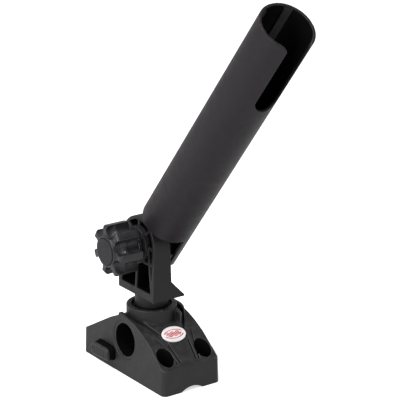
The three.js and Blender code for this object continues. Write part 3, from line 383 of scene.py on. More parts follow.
rough = sums(skin, "ADD", rough, sums(skin, "MULTIPLY", settled, 0.3))
rough = sums(skin, "SUBTRACT", rough, sums(skin, "MULTIPLY", worn, 0.12))
high = sums(skin, "ADD", grain, sums(skin, "MULTIPLY", fine_line, -0.35))
skin.links.new(with_dust, gout.inputs["Colour"])
skin.links.new(rough, gout.inputs["Roughness"])
skin.links.new(high, gout.inputs["Height"])


def moulded(name, colour, worn_colour, roughness, wear, dust, relief, specular):
    settings = {"Colour": (*colour, 1), "Worn Colour": (*worn_colour, 1), "Roughness": roughness,
                "Wear": wear, "Dust": dust}
    material = coated(name, skin, settings, relief, GRAIN_DEPTH)
    material.node_tree.nodes["Principled BSDF"].inputs["Specular IOR Level"].default_value = specular
    return material


nylon = moulded("black_nylon", (0.0135, 0.0128, 0.014), (0.12, 0.12, 0.125), 0.5, 0.8, 0.2, 0.5, 0.31)
# Painted shade: a near-black copy of the nylon, put on faces inside sockets, pockets, bores and hollows where
# shade falls.
painted_shade_nylon = moulded("painted_shade_nylon", (0.002, 0.002, 0.0022), (0.012, 0.012, 0.0125), 0.62, 0.3, 0.0, 0.5, 0.06)
# Painted shade for the swept grooves: a dark copy of the nylon, less dark than the one above.
groove_painted_shade_nylon = moulded("groove_painted_shade_nylon", (0.006, 0.006, 0.0063), (0.05, 0.05, 0.052), 0.58, 0.5, 0.1, 0.5, 0.12)

base_low, base_high = box_mm("base_body")
BASE_FRONT, BASE_BACK, HALF_WIDTH, COLLAR_Z = base_high.x, -base_low.x, base_high.y, base_high.z
CORNER_R = 5
FRONT_END_Z, FRONT_LIP, BACK_END_Z = 22.6, 3.5, 21.2
FRONT_CROWN_Z = COLLAR_Z - 6.2
BACK_CROWN_Z = FRONT_CROWN_Z - 4.2
STEP_X, FRONT_ARC_R, BACK_ARC_R, BACK_ARC_X = -10, 80, 36, -6
SIDE_DRAFT = math.tan(math.radians(2))
WALL, ROOF, UNDER_GAP = 3.2, 4.2, 2.8
SOCKET_R, COUNTERBORE_R, COUNTERBORE_DEPTH = 14.35, 17.25, 4.8
SOCKET_WALL, SOCKET_WALL_FOOT = 3.4, 10.5
COLLAR_R, COLLAR_ROUND = 21.45, 1.2
SHOULDER_R, SHOULDER_RISE, SHOULDER_START_Y = 29, 1.6, 12
SIDE_SOCKET_Z, SIDE_SOCKET_END, SIDE_RING_DEPTH = 31.2, 18, 0.7
POCKET_R, POCKET_WALL, POCKET_INSET, POCKET_Y, POCKET_FLOOR = 7.3, 2, 12.2, 19, 9
SCREW_HOLE_R = 2.7
GROOVE_DEPTH, GROOVE_HUG, GROOVE_TUCK = 1.6, 0.8, 0.9
NOTCH_HALF, NOTCH_HEIGHT = 10.5, 3.4
BADGE_X, BADGE_ACROSS, BADGE_ALONG, BADGE_SEAT, BADGE_FIT = 32.5, 23, 15.6, 0.9, 0.5


def slope_turn(centre_x, centre_z, radius, end_x, end_z):
    run, rise = end_x - centre_x, end_z - centre_z
    return math.degrees(math.atan2(run, rise) - math.acos(radius / math.hypot(run, rise)))


front_centre_z = FRONT_CROWN_Z - FRONT_ARC_R
back_centre_z = BACK_CROWN_Z - BACK_ARC_R
front_turn = slope_turn(STEP_X, front_centre_z, FRONT_ARC_R, BASE_FRONT - FRONT_LIP, FRONT_END_Z)
back_turn = slope_turn(-BACK_ARC_X, back_centre_z, BACK_ARC_R, BASE_BACK, BACK_END_Z)
step_turn = math.degrees(math.asin((BACK_ARC_X - STEP_X) / BACK_ARC_R))


def side_outline(inset, drop, foot):
    points = [(-BASE_BACK + inset, foot), (BASE_FRONT - inset, foot),
              (BASE_FRONT - inset, FRONT_END_Z - drop), (BASE_FRONT - FRONT_LIP, FRONT_END_Z - drop)]
    points += arc(STEP_X, front_centre_z - drop, FRONT_ARC_R, 90 - front_turn, 90, 60)
    points += arc(BACK_ARC_X, back_centre_z - drop, BACK_ARC_R, 90 + step_turn, 90 + back_turn, 40)
    points.append((-BASE_BACK + inset, BACK_END_Z + inset * math.tan(math.radians(back_turn)) - drop))
    return points


def top_z(x):
    if x < STEP_X:
        centre_x, centre_z, radius, turn, end_x, end_z = (
            BACK_ARC_X, back_centre_z, BACK_ARC_R, back_turn, -BASE_BACK, BACK_END_Z)
    else:
        centre_x, centre_z, radius, turn, end_x, end_z = (
            STEP_X, front_centre_z, FRONT_ARC_R, front_turn, BASE_FRONT - FRONT_LIP, FRONT_END_Z)
    run = abs(x - centre_x)
    if run < radius * math.sin(math.radians(turn)):
        return centre_z + math.sqrt(radius ** 2 - run ** 2)
    return end_z + max(0, abs(end_x - x)) * math.tan(math.radians(turn))


def base_plan(inset, low, high):
    return prism(rounded_box(-BASE_BACK + inset, BASE_FRONT - inset, -HALF_WIDTH + inset, HALF_WIDTH - inset,
                             max(CORNER_R - inset, 1)), low, high)


def grooves_of(direction, side):
    def at(point, aside=0):
        return (direction * point[0], side * (point[1] - aside))
    top, turn, bend, foot, width = (-4, 24.5), (16, 24.5), (31, 12), (54, 8.6), 1.5
    wide = sweep_between(at(top), at(turn), at(bend)) + [at(foot), at(foot, width)]
    hug = side * COLLAR_R * GROOVE_HUG
    wide += sweep_between(at(bend, width), (direction * COLLAR_R, hug), (0, side * COLLAR_R * GROOVE_TUCK))
    wide.append((direction * top[0], hug))
    top, turn, foot, width = (17, 25.2), (31, 17.5), (54, 11.4), 1.2
    narrow = sweep_between(at(top), at(turn), at(foot))
    narrow += sweep_between(at(foot, width), at(turn, width), at(top))[:-1]
    return [prism(wide, 0, COLLAR_Z), prism(narrow, 0, COLLAR_Z)]


def badge_seat():
    turn = math.asin(min(1, (BADGE_X - STEP_X) / FRONT_ARC_R))
    height = front_centre_z + FRONT_ARC_R * math.cos(turn)
    return Matrix.Translation((BADGE_X, 0, height)) @ Matrix.Rotation(turn, 4, "Y")


def oval(along, across, steps=96):
    return [(along / 2 * math.cos(math.tau * i / steps), across / 2 * math.sin(math.tau * i / steps))
            for i in range(steps)]


button_low, button_high = box_mm("lock_button")
BUTTON_FLANGE, BUTTON_CORNER, SLIDE = 2, 4.5, 0.4
BUTTON_X0, BUTTON_X1 = button_low.x + BUTTON_FLANGE, button_high.x - BUTTON_FLANGE
BUTTON_Z0, BUTTON_Z1 = button_low.z + BUTTON_FLANGE, button_high.z - BUTTON_FLANGE
FLANGE_ROOM = 9
inner = HALF_WIDTH - WALL
pocket_places = [(x, y) for x in (BASE_FRONT - POCKET_INSET, POCKET_INSET - BASE_BACK)
                 for y in (-POCKET_Y, POCKET_Y)]

base = common(prism(side_outline(0, 0, 0), -HALF_WIDTH, HALF_WIDTH, "Y"), base_plan(0, 0, COLLAR_Z))
far_shoulder = common(bar(SHOULDER_R, FRONT_END_Z, FRONT_CROWN_Z + SHOULDER_RISE, steps=160),
                      block(-HALF_WIDTH, HALF_WIDTH, SHOULDER_START_Y, HALF_WIDTH, FRONT_END_Z, COLLAR_Z),
                      base_plan(0, 0, COLLAR_Z))
join(base, far_shoulder)
for corner in base.data.vertices:
    corner.co.y *= 1 - SIDE_DRAFT * corner.co.z / HALF_WIDTH
collar = turned([(0, FRONT_END_Z), (COLLAR_R, FRONT_END_Z), (COLLAR_R, COLLAR_Z - COLLAR_ROUND)]
                + [(COLLAR_R - COLLAR_ROUND + a, COLLAR_Z - COLLAR_ROUND + b)
                   for a, b in arc(0, 0, COLLAR_ROUND, 0, 90, 6)[1:]] + [(0, COLLAR_Z)])
join(base, collar)
grooves = None
for direction in (1, -1):
    for side in (1, -1):
        for groove in grooves_of(direction, side):
            grooves = join(grooves, groove) if grooves else groove
cut(grooves, prism(side_outline(-1, GROOVE_DEPTH, -1), -HALF_WIDTH - 1, HALF_WIDTH + 1, "Y"),
    bar(COLLAR_R, -1, COLLAR_Z + 1, steps=160))
hollow = common(prism(side_outline(WALL, ROOF, -1), -HALF_WIDTH, HALF_WIDTH, "Y"),
                base_plan(WALL, -1, COLLAR_Z))
cut(hollow, bar(SOCKET_R + SOCKET_WALL, SOCKET_WALL_FOOT, COLLAR_Z),
    bar(SOCKET_R + SOCKET_WALL, -HALF_WIDTH - 1, SIDE_SOCKET_END + WALL, 0, SIDE_SOCKET_Z, "Y"),
    *[bar(POCKET_R + POCKET_WALL, UNDER_GAP, FRONT_CROWN_Z, x, y) for x, y in pocket_places])
tools = [grooves, hollow, base_plan(WALL, -1, UNDER_GAP), bar(SOCKET_R, -1, COLLAR_Z + 1),
         bar(COUNTERBORE_R, COLLAR_Z - COUNTERBORE_DEPTH, COLLAR_Z + 1),
         bar(SOCKET_R, -HALF_WIDTH - 1, SIDE_SOCKET_END, 0, SIDE_SOCKET_Z, "Y")]
ring_tilt = Matrix.Translation((0, -HALF_WIDTH + SIDE_DRAFT * SIDE_SOCKET_Z, SIDE_SOCKET_Z))
ring_tilt = ring_tilt @ Matrix.Rotation(-math.atan(SIDE_DRAFT), 4, "X")
tools.append(moved(bar(COUNTERBORE_R, -SIDE_RING_DEPTH, SIDE_RING_DEPTH, along="Y"), ring_tilt))
for x, y in pocket_places:
    tools.append(bar(POCKET_R, POCKET_FLOOR, FRONT_CROWN_Z, x, y))
    tools.append(bar(SCREW_HOLE_R, -1, FRONT_CROWN_Z, x, y, steps=32))
tools.append(prism(rounded_box(BUTTON_X0 - SLIDE, BUTTON_X1 + SLIDE, BUTTON_Z0 - SLIDE, BUTTON_Z1 + SLIDE,
                               BUTTON_CORNER + SLIDE), -HALF_WIDTH - 1, -inner + 1, "Y"))
tools.append(prism(rounded_box(button_low.x - SLIDE, button_high.x + SLIDE, button_low.z - SLIDE,
                               button_high.z + SLIDE, BUTTON_CORNER), -inner, -inner + FLANGE_ROOM, "Y"))
notch_r = (NOTCH_HALF ** 2 + NOTCH_HEIGHT ** 2) / (2 * NOTCH_HEIGHT)
notch_turn = math.degrees(math.asin(NOTCH_HALF / notch_r))
notch = [(NOTCH_HALF, -1)] + arc(0, NOTCH_HEIGHT - notch_r, notch_r, 90 - notch_turn, 90 + notch_turn) + [
    (-NOTCH_HALF, -1)]
tools.append(prism(notch, BASE_FRONT - WALL - 1, BASE_FRONT + 1, "X"))
tools.append(prism(notch, -BASE_BACK - 1, WALL + 1 - BASE_BACK, "X"))
recess = prism(oval(BADGE_ALONG + BADGE_FIT, BADGE_ACROSS + BADGE_FIT), -BADGE_SEAT, 4)
tools.append(moved(recess, badge_seat()))
cut(base, *tools)
soften(base, grain=0.4, rounds=3, faces=190000)

# Inside the sockets and pockets the skin is painted darker as shade, and the swept grooves get a lighter
# painted shade.
# It starts this far below each rim, and a wall counts as inside up to REACH beyond its radius.
COLLAR_RIM, SIDE_RIM, POCKET_RIM = 1, 0.9, 0.6
REACH, POCKET_REACH = 0.3, 0.2
GROOVE_LIP, GROOVE_SLACK, BADGE_CLEAR = 0.75, 0.4, 0.58
GROOVE_FROM_SIDE, GROOVE_FROM_STEP, GROOVE_FROM_FRONT, GROOVE_FROM_BACK = 2.2, 4, 1.5, 3


def in_a_hole(at):
    if math.hypot(at.x, at.y) < COUNTERBORE_R + REACH and at.z < COLLAR_Z - COLLAR_RIM:
        return True
    if math.hypot(at.x, at.z - SIDE_SOCKET_Z) < SOCKET_R + REACH and at.y < SIDE_SOCKET_END:
        return at.y > -HALF_WIDTH + SIDE_DRAFT * at.z + SIDE_RIM
    under = top_z(at.x) - at.z
    if under > POCKET_RIM and any(math.hypot(at.x - x, at.y - y) < POCKET_R + POCKET_REACH
                                  for x, y in pocket_places):
        return True
    in_groove = GROOVE_LIP < under < GROOVE_DEPTH + GROOVE_SLACK and abs(at.y) < HALF_WIDTH - GROOVE_FROM_SIDE
    on_front = STEP_X + GROOVE_FROM_STEP < at.x < BASE_FRONT - FRONT_LIP - GROOVE_FROM_FRONT
    on_back = STEP_X - GROOVE_FROM_STEP > at.x > GROOVE_FROM_BACK - BASE_BACK
    on_badge = math.hypot((at.x - BADGE_X) / BADGE_ALONG, at.y / BADGE_ACROSS) < BADGE_CLEAR
    return 2 if in_groove and (on_front or on_back) and not on_badge else 0


finished(base, "base_shell", "base", nylon, ["base_body"], faces_where(base, in_a_hole))

# ---- Badge: a thin oval plate of white plastic on the front slope -------------------------
# It has a softly domed rim, and is pressed into a recess in the slope. A generic sign is
# printed on it in red: three wavy lines between the two halves of an oval ring.
BADGE_FOOT, BADGE_TOP, BADGE_ROUND = -0.6, 0.6, 0.35
BADGE_DOME = [(2.2, 0.05), (5, 0.12)]
WAVES = ((-1.6, 0.5, 6.2), (0.0, 0.62, 7.4), (1.6, 0.5, 6.2))
WAVE_RATE, WAVE_SWING, LINE_BLUR, END_BLUR = 1.25, 0.55, 0.12, 0.3
RING_ALONG, RING_ACROSS = 4.3, 9.0
CLEAN_WHITE, SOILED_WHITE = (0.83, 0.79, 0.80, 1), (0.74, 0.69, 0.69, 1)
INK_RED = (0.52, 0.02, 0.03, 1)


def lofted(rings):
    size = len(rings[0])
    points = [point for ring in rings for point in ring]
    faces = [tuple(range(size)), tuple(range(len(points) - size, len(points)))]
    for start in range(0, len(points) - size, size):
        for i in range(size):
            j = (i + 1) % size
            faces.append((start + i, start + j, start + size + j, start + size + i))
    return shape(points, faces)


badge_levels = [(0, BADGE_FOOT), (0, BADGE_TOP - BADGE_ROUND)]
badge_levels += [(BADGE_ROUND - a, BADGE_TOP - BADGE_ROUND + b) for a, b in arc(0, 0, BADGE_ROUND, 15, 90, 5)]
badge_levels += [(inset, BADGE_TOP + rise) for inset, rise in BADGE_DOME]
badge = lofted([[(x, y, height) for x, y in oval(BADGE_ALONG - 2 * inset, BADGE_ACROSS - 2 * inset)]
                for inset, height in badge_levels])

print_group = new_group("printed_waves", [], [("Ink", "NodeSocketFloat"), ("Height", "NodeSocketFloat")])
gout = print_group.nodes.new("NodeGroupOutput")
place = node(print_group, "TexCoord").outputs["Object"]
split = node(print_group, "SeparateXYZ", {"Vector": place})


def figure(operation, a, b=0.0):
    return sums(print_group, operation, a, b)


along = figure("MULTIPLY", split.outputs["X"], 1 / MM)
across = figure("MULTIPLY", split.outputs["Y"], 1 / MM)
far_along, far_across = figure("ABSOLUTE", along), figure("ABSOLUTE", across)
ripple = figure("MULTIPLY", figure("SINE", figure("MULTIPLY", across, WAVE_RATE)), WAVE_SWING)
ink = None
for offset, half, reach in WAVES:
    off = figure("ABSOLUTE", figure("SUBTRACT", figure("SUBTRACT", along, ripple), offset))
    line = figure("MULTIPLY", ramp(print_group, off, half + LINE_BLUR, half - LINE_BLUR),
                  ramp(print_group, far_across, reach + END_BLUR, reach - END_BLUR))
    ink = line if ink is None else figure("MAXIMUM", ink, line)
spread = figure("ADD", figure("POWER", figure("DIVIDE", far_along, RING_ALONG), 2.0),
                figure("POWER", figure("DIVIDE", far_across, RING_ACROSS), 2.0))
ring = figure("ABSOLUTE", figure("SUBTRACT", spread, 1.0))
ring = figure("MULTIPLY", ramp(print_group, ring, 0.17, 0.11), ramp(print_group, far_along, 1.2, 1.7))
ink = figure("MAXIMUM", ink, ring)
print_group.links.new(ink, gout.inputs["Ink"])
speck = node(print_group, "TexNoise", {"Vector": place, "Scale": 900.0}).outputs[0]
print_group.links.new(figure("ADD", figure("MULTIPLY", ink, 0.5), figure("MULTIPLY", speck, 0.25)),
                      gout.inputs["Height"])

badge_material = bpy.data.materials.new("badge_white")
badge_material.use_nodes = True
tree = badge_material.node_tree
paint = tree.nodes["Principled BSDF"]
printed = node(tree, "Group", node_tree=print_group)
place = node(tree, "TexCoord").outputs["Object"]
soil = node(tree, "TexNoise", {"Vector": place, "Scale": 240.0, "Detail": 4.0}).outputs[0]
white = mixed(tree, ramp(tree, soil, 0.45, 0.75), CLEAN_WHITE, SOILED_WHITE)
inked = mixed(tree, printed.outputs["Ink"], white, INK_RED)
tree.links.new(inked, paint.inputs["Base Color"])
tree.links.new(ramp(tree, soil, 0.3, 0.8, 0.24, 0.42), paint.inputs["Roughness"])
bump = node(tree, "Bump", {"Height": printed.outputs["Height"], "Strength": 0.3, "Distance": 0.00005})
tree.links.new(bump.outputs["Normal"], paint.inputs["Normal"])
finished(badge, "oval_badge", "base", badge_material, ["base_badge"])
seat = badge_seat()
badge.matrix_world = Matrix.Translation(seat.to_translation() * MM) @ seat.to_3x3().to_4x4()

# ---- Bottom cover and its four screws: hidden under the base ------------------------------
# A flat moulded plate of the same black nylon closes the underside. Four small stainless
# screws hold it, with fine drawn lines and a faint stain in their metal.
DRAWN_DEPTH = 0.00004
metal = new_group(
    "drawn_metal",
    [("Colour", "NodeSocketColor", grey(0.5)), ("Roughness", "NodeSocketFloat", 0.3)],
    [("Colour", "NodeSocketColor"), ("Roughness", "NodeSocketFloat"), ("Height", "NodeSocketFloat")])
gin = metal.nodes.new("NodeGroupInput")
gout = metal.nodes.new("NodeGroupOutput")
place = node(metal, "TexCoord").outputs["Object"]
drawn = node(metal, "Mapping", {"Vector": place, "Scale": (2600.0, 240.0, 2600.0)}).outputs[0]
lines = node(metal, "TexNoise", {"Vector": drawn, "Scale": 1.0, "Detail": 4.0}).outputs[0]
stain = node(metal, "TexNoise", {"Vector": place, "Scale": 180.0, "Detail": 5.0}).outputs[0]
shade = ramp(metal, stain, 0.3, 0.75, 1.08, 0.72)
tone = shaded(metal, gin.outputs["Colour"], shade)
rough = sums(metal, "ADD", gin.outputs["Roughness"], ramp(metal, lines, 0.3, 0.7, -0.06, 0.1))
metal.links.new(tone, gout.inputs["Colour"])
metal.links.new(rough, gout.inputs["Roughness"])
metal.links.new(lines, gout.inputs["Height"])


def metallic(name, colour, roughness):
    settings = {"Colour": (*colour, 1), "Roughness": roughness}
    material = coated(name, metal, settings, 0.25, DRAWN_DEPTH)
    material.node_tree.nodes["Principled BSDF"].inputs["Metallic"].default_value = 1.0
    return material


def keep(material, *names):
    for name in names:
        kept = frame["nodes"][name]
        kept.data.materials.clear()
        kept.data.materials.append(material)


stainless = metallic("stainless", (0.56, 0.57, 0.58), 0.32)
cover_nylon = moulded("cover_nylon", (0.014, 0.014, 0.0145), (0.05, 0.05, 0.052), 0.6, 0.3, 0.1, 0.6, 0.3)
keep(cover_nylon, "bottom_cover")
keep(stainless, "cover_screw_1", "cover_screw_2", "cover_screw_3", "cover_screw_4")

# ---- Lock button, with the latch plate and springs behind it ------------------------------
# The thumb button is moulded in black nylon: a long rounded pad with seven finger ribs in a
# shallow frame. Behind the wall it pushes a stainless latch plate against two springs.
BUTTON_TAPER = 0.9
RIB_PITCH, RIB_WIDE, RIB_TALL, RIB_SUNK, FRAME_DEEP, FRAME_RIM = 3, 1.3, 3.1, 0.25, 0.9, 1.5
# The button's skirt is painted darker as shade from this far behind its front.
SKIRT_PAINTED_SHADE_FROM = 2.6

button_front, button_back = button_low.y, button_high.y
skirt_levels = [(button_back, 0), (-HALF_WIDTH - 1, 0), (button_front + 2.2, BUTTON_TAPER * 0.5),
                (button_front + 0.8, BUTTON_TAPER * 0.8), (button_front, BUTTON_TAPER + 0.7)]
skirt_rings = []
for y, inset in skirt_levels:
    outline = rounded_box(BUTTON_X0 + inset, BUTTON_X1 - inset, BUTTON_Z0 + inset, BUTTON_Z1 - inset,
                          BUTTON_CORNER - inset * 0.5)
    skirt_rings.append([(x, y, z) for x, z in outline])
button = lofted(skirt_rings)
join(button, prism(rounded_box(button_low.x, button_high.x, button_low.z, button_high.z, BUTTON_CORNER),
                   button_back - BUTTON_FLANGE, button_back, "Y"))
frame_inset = BUTTON_TAPER + FRAME_RIM
pad = prism(rounded_box(BUTTON_X0 + frame_inset, BUTTON_X1 - frame_inset, BUTTON_Z0 + frame_inset,
                        BUTTON_Z1 - frame_inset, BUTTON_CORNER - frame_inset * 0.6), button_front - 1,
            button_front + FRAME_DEEP, "Y")
button_x, button_z = (BUTTON_X0 + BUTTON_X1) / 2, (BUTTON_Z0 + BUTTON_Z1) / 2
for i in range(-3, 4):
    x = button_x + i * RIB_PITCH
    cut(pad, block(x - RIB_WIDE / 2, x + RIB_WIDE / 2, button_front + RIB_SUNK,
                   button_front + FRAME_DEEP + 1, button_z - RIB_TALL, button_z + RIB_TALL))
cut(button, pad)
soften(button, grain=0.22, rounds=3, faces=90000)
button_nylon = moulded("button_nylon", (0.017, 0.0165, 0.018), (0.1, 0.1, 0.105), 0.46, 0.8, 0.25, 0.45, 0.36)
finished(button, "thumb_button", "button", button_nylon, ["lock_button"],
         faces_where(button, lambda at: at.y > button_front + SKIRT_PAINTED_SHADE_FROM))
keep(stainless, "latch_plate", "latch_spring_back", "latch_spring_front")

# ---- Swivel head: ribbed upright on a splined post ----------------------------------------
# One black nylon moulding: a round-topped upright, open and ribbed on the knob side, flat with
# face teeth on the tube side, on a turned neck. The splined post below drops into the base.
head_low, head_high = box_mm("swivel_head")
tilt = next(j for j in frame["joints"] if j["name"] == "tilt")
PIVOT_Z = tilt["pos_m"][2] / MM
LEAN = 90 - tilt["range_deg"][1]
HEAD_R = head_high.z - PIVOT_Z
HEAD_HALF_X = head_high.x
FLANGE_Z, FLANGE_TALL = COLLAR_Z + 10.3, 7
POST_R, NECK_R, NECK_FOOT_R, NECK_FOOT_TALL, WEAR_RING_ROOM = 13.9, 14.2, 16.65, 1.6, 1.6
HEAD_FRONT_Y, HEAD_LEAN_IN, HEAD_BACK_Y = -16.0, 4, 3.2
WEDGE_Y, WEDGE_TALL, WEDGE_EDGE = 16.0, 15, 1.2
HEAD_WALL, HEAD_RIB, BOSS_R, CROSS_DROP = 3, 2.5, 16, 12.8
BOLT_HOLE_R, SPRING_HOLE_R, SPRING_HOLE_DEEP = 4.4, 7.4, 5
TOOTH_COUNT, TOOTH_TALL, TOOTH_WIDE, TOOTH_IN, TOOTH_OUT = 24, 1.1, 1.4, 8.6, 15
TOOTH_TIP, TOOTH_ROOT = 0.25, 0.4
SPLINE_COUNT, SPLINE_DEEP, SPLINE_Z0, SPLINE_BELOW_RING = 24, 1, 12, 3.5
SPLINE_SHARES = ((0, 0), (0.25, 0), (0.5, 0), (0.62, SPLINE_DEEP), (0.88, SPLINE_DEEP))
POST_CHAMFER, LATCH_GROOVE_DEEP = 0.8, 3.1
FACET_TURN = math.radians(30)

flange_top = FLANGE_Z + FLANGE_TALL
web_y = HEAD_BACK_Y - HEAD_WALL


def head_outline(inset):
    radius, half_x = HEAD_R - inset, HEAD_HALF_X - inset
    foot = flange_top if inset else FLANGE_Z
    lean = math.degrees(math.atan2(HEAD_HALF_X - HEAD_R, PIVOT_Z - flange_top))
    return [(-half_x, foot), (half_x, foot)] + ([] if inset else [(half_x, flange_top)]) + arc(
        0, PIVOT_Z, radius, lean, 180 - lean, 80) + ([] if inset else [(-half_x, flange_top)])


def face_teeth(y, sign, turn):
    profile = [(-TOOTH_WIDE / 2, -TOOTH_ROOT), (TOOTH_WIDE / 2, -TOOTH_ROOT),
               (TOOTH_TIP, TOOTH_TALL), (-TOOTH_TIP, TOOTH_TALL)]
    teeth = []
    for i in range(TOOTH_COUNT):
        tooth = prism(profile, TOOTH_IN, TOOTH_OUT)
        if sign < 0:
            moved(tooth, Matrix.Rotation(math.pi, 4, "Z"))
        moved(tooth, Matrix.Translation((0, y, 0)) @ Matrix.Rotation(
            math.radians(turn + 360 * i / TOOTH_COUNT), 4, "Y"))
        teeth.append(tooth)
    return teeth


head = prism([(HEAD_FRONT_Y, FLANGE_Z), (WEDGE_Y, FLANGE_Z), (WEDGE_Y, FLANGE_Z + WEDGE_EDGE),
              (HEAD_BACK_Y, FLANGE_Z + WEDGE_TALL), (HEAD_BACK_Y, head_high.z + 1),
              (HEAD_FRONT_Y + HEAD_LEAN_IN, head_high.z + 1), (HEAD_FRONT_Y, flange_top)],
             -HEAD_HALF_X - 1, HEAD_HALF_X + 1, "X")
common(head, prism(head_outline(0), HEAD_FRONT_Y - 1, WEDGE_Y + 1, "Y"))
envelope = head.copy()
envelope.data = head.data.copy()
bpy.context.scene.collection.objects.link(envelope)
cut(head, prism(head_outline(HEAD_WALL), HEAD_FRONT_Y - 2, web_y, "Y"))
rib_y0, rib_y1 = HEAD_FRONT_Y - 1, web_y + 1
leg_x, cross_z = HEAD_HALF_X - HEAD_WALL / 2, PIVOT_Z - CROSS_DROP
ribs = block(-HEAD_RIB / 2, HEAD_RIB / 2, rib_y0, rib_y1, flange_top - 1, PIVOT_Z)
more = [block(-leg_x, leg_x, rib_y0, rib_y1, cross_z - HEAD_RIB / 2, cross_z + HEAD_RIB / 2)]
for angle in (0, 45, 90, 135, 180):
    more.append(moved(block(BOSS_R - 1, HEAD_R - HEAD_WALL / 2, rib_y0, rib_y1, -HEAD_RIB / 2, HEAD_RIB / 2),
                      Matrix.Translation((0, 0, PIVOT_Z)) @ Matrix.Rotation(-math.radians(angle), 4, "Y")))
for side in (-1, 1):
    top_x, foot_x = side * (BOSS_R - HEAD_RIB / 2), side * (HEAD_HALF_X - HEAD_WALL)
    brace = [(top_x - HEAD_RIB / 2, PIVOT_Z), (foot_x - HEAD_RIB / 2, flange_top),
             (foot_x + HEAD_RIB / 2, flange_top), (top_x + HEAD_RIB / 2, PIVOT_Z)]
    more.append(prism(brace, rib_y0, rib_y1, "Y"))
join(ribs, *more)
common(ribs, envelope)
neck_foot = COLLAR_Z - COUNTERBORE_DEPTH + WEAR_RING_ROOM
join(head, ribs, bar(BOSS_R, HEAD_FRONT_Y, web_y + 1, 0, PIVOT_Z, "Y"),
     bar(NECK_R, neck_foot, FLANGE_Z + 1), bar(NECK_FOOT_R, neck_foot, neck_foot + NECK_FOOT_TALL))
cut(head, bar(BOLT_HOLE_R, HEAD_FRONT_Y - 1, HEAD_BACK_Y + 3, 0, PIVOT_Z, "Y"),
    bar(SPRING_HOLE_R, HEAD_BACK_Y - SPRING_HOLE_DEEP, HEAD_BACK_Y + 3, 0, PIVOT_Z, "Y"))
soften(head, grain=0.36, rounds=3, faces=180000)

# The open side of the upright is painted darker inside as shade, from this far behind its front edge, and so
# is the neck below the collar top.
FRONT_RIM, NEAR_WALL, NEAR_FLOOR = 1.6, 0.3, 0.4


def in_the_head(at):
    if at.z < FLANGE_Z:
        return at.z < COLLAR_Z - NEAR_FLOOR
    lean_in = HEAD_LEAN_IN * max(0, at.z - flange_top) / (head_high.z - flange_top)
    across = (HEAD_R if at.z > PIVOT_Z else HEAD_HALF_X) - HEAD_WALL + NEAR_WALL
    reach = abs(at.x) if at.z < PIVOT_Z else math.hypot(at.x, at.z - PIVOT_Z)
    behind_rim = HEAD_FRONT_Y + lean_in + FRONT_RIM < at.y < web_y + NEAR_FLOOR
    return behind_rim and reach < across and at.z > flange_top - NEAR_FLOOR


head_nylon = moulded("head_nylon", (0.0095, 0.009, 0.0102), (0.075, 0.075, 0.08), 0.5, 0.7, 0.12, 0.5, 0.28)
finished(head, "swivel_upright", "head", head_nylon, ["swivel_head"],
         faces_where(head, in_the_head))

teeth = face_teeth(HEAD_BACK_Y, 1, LEAN + 180 / TOOTH_COUNT)
head_teeth = join(bar(TOOTH_OUT, HEAD_BACK_Y - 0.6, HEAD_BACK_Y + 0.05, along="Y"), *teeth)
cut(head_teeth, bar(SPRING_HOLE_R, HEAD_BACK_Y - 2, HEAD_BACK_Y + 3, along="Y"))
moved(head_teeth, Matrix.Translation((0, 0, PIVOT_Z)))
finished(head_teeth, "head_teeth", "head", head_nylon)
head_teeth.data.set_sharp_from_angle(angle=FACET_TURN)

spline_top = COLLAR_Z - COUNTERBORE_DEPTH - SPLINE_BELOW_RING
groove_z0, groove_z1, groove_r = 5.2, 8.6, POST_R - LATCH_GROOVE_DEEP
post = turned([(0, head_low.z), (POST_R - POST_CHAMFER, head_low.z), (POST_R, head_low.z + POST_CHAMFER),
               (POST_R, groove_z0), (groove_r, groove_z0), (groove_r, groove_z1), (POST_R, groove_z1),
               (POST_R, SPLINE_Z0), (POST_R - SPLINE_DEEP, SPLINE_Z0 + 1),
               (POST_R - SPLINE_DEEP, spline_top - 1), (POST_R, spline_top),
               (POST_R, neck_foot - 0.1), (0, neck_foot - 0.1)])
spline = []
for i in range(SPLINE_COUNT):
    for share, deep in SPLINE_SHARES:
        angle = (i + share) * math.tau / SPLINE_COUNT
        spline.append(((POST_R - deep) * math.cos(angle), (POST_R - deep) * math.sin(angle)))
join(post, prism(spline, SPLINE_Z0, spline_top))
finished(post, "splined_post", "head", head_nylon)
post.data.set_sharp_from_angle(angle=FACET_TURN)
# The wear ring, down in the shaded gap of the collar, is given the painted-shade nylon.
keep(painted_shade_nylon, "post_wear_ring")

# ---- Rod tube: long, moulded in satin black plastic that is faintly warm in tone -----------
# A reel slot with rounded corners runs down from its square-cut mouth. Two low ribs run
# inside, and a round ear on one side reaches down to the pivot.
tube_low, tube_high = box_mm("rod_tube")
TUBE_R = (tube_high.y - tube_low.y) / 2
TUBE_Y = (tube_high.y + tube_low.y) / 2
lean = math.radians(LEAN)
TUBE_END = (tube_high.z - PIVOT_Z - TUBE_R * math.sin(lean)) / math.cos(lean)
TUBE_WALL = 2.4
BORE_R = TUBE_R - TUBE_WALL
TUBE_START, EAR_R, EAR_CUT = 28, 24, 6
SLOT_HALF_TURN, SLOT_LONG, SLOT_CORNER = 27, 74, 5
FLOOR_Z, FLOOR_TALL, DRAIN_R = 34, 3, 6
RIB_TURN, TUBE_RIB_WIDE, TUBE_RIB_TALL = 145, 7, 1.5
TEETH_ROOM = 2.6
ARM_FACE_Y, HEX_SEAT_Y, HEX_FLATS = HEAD_BACK_Y + TEETH_ROOM, 18, 13


def along_tube(radius, low, high, steps=192):
    return bar(radius, low, high, 0, TUBE_Y, steps=steps)


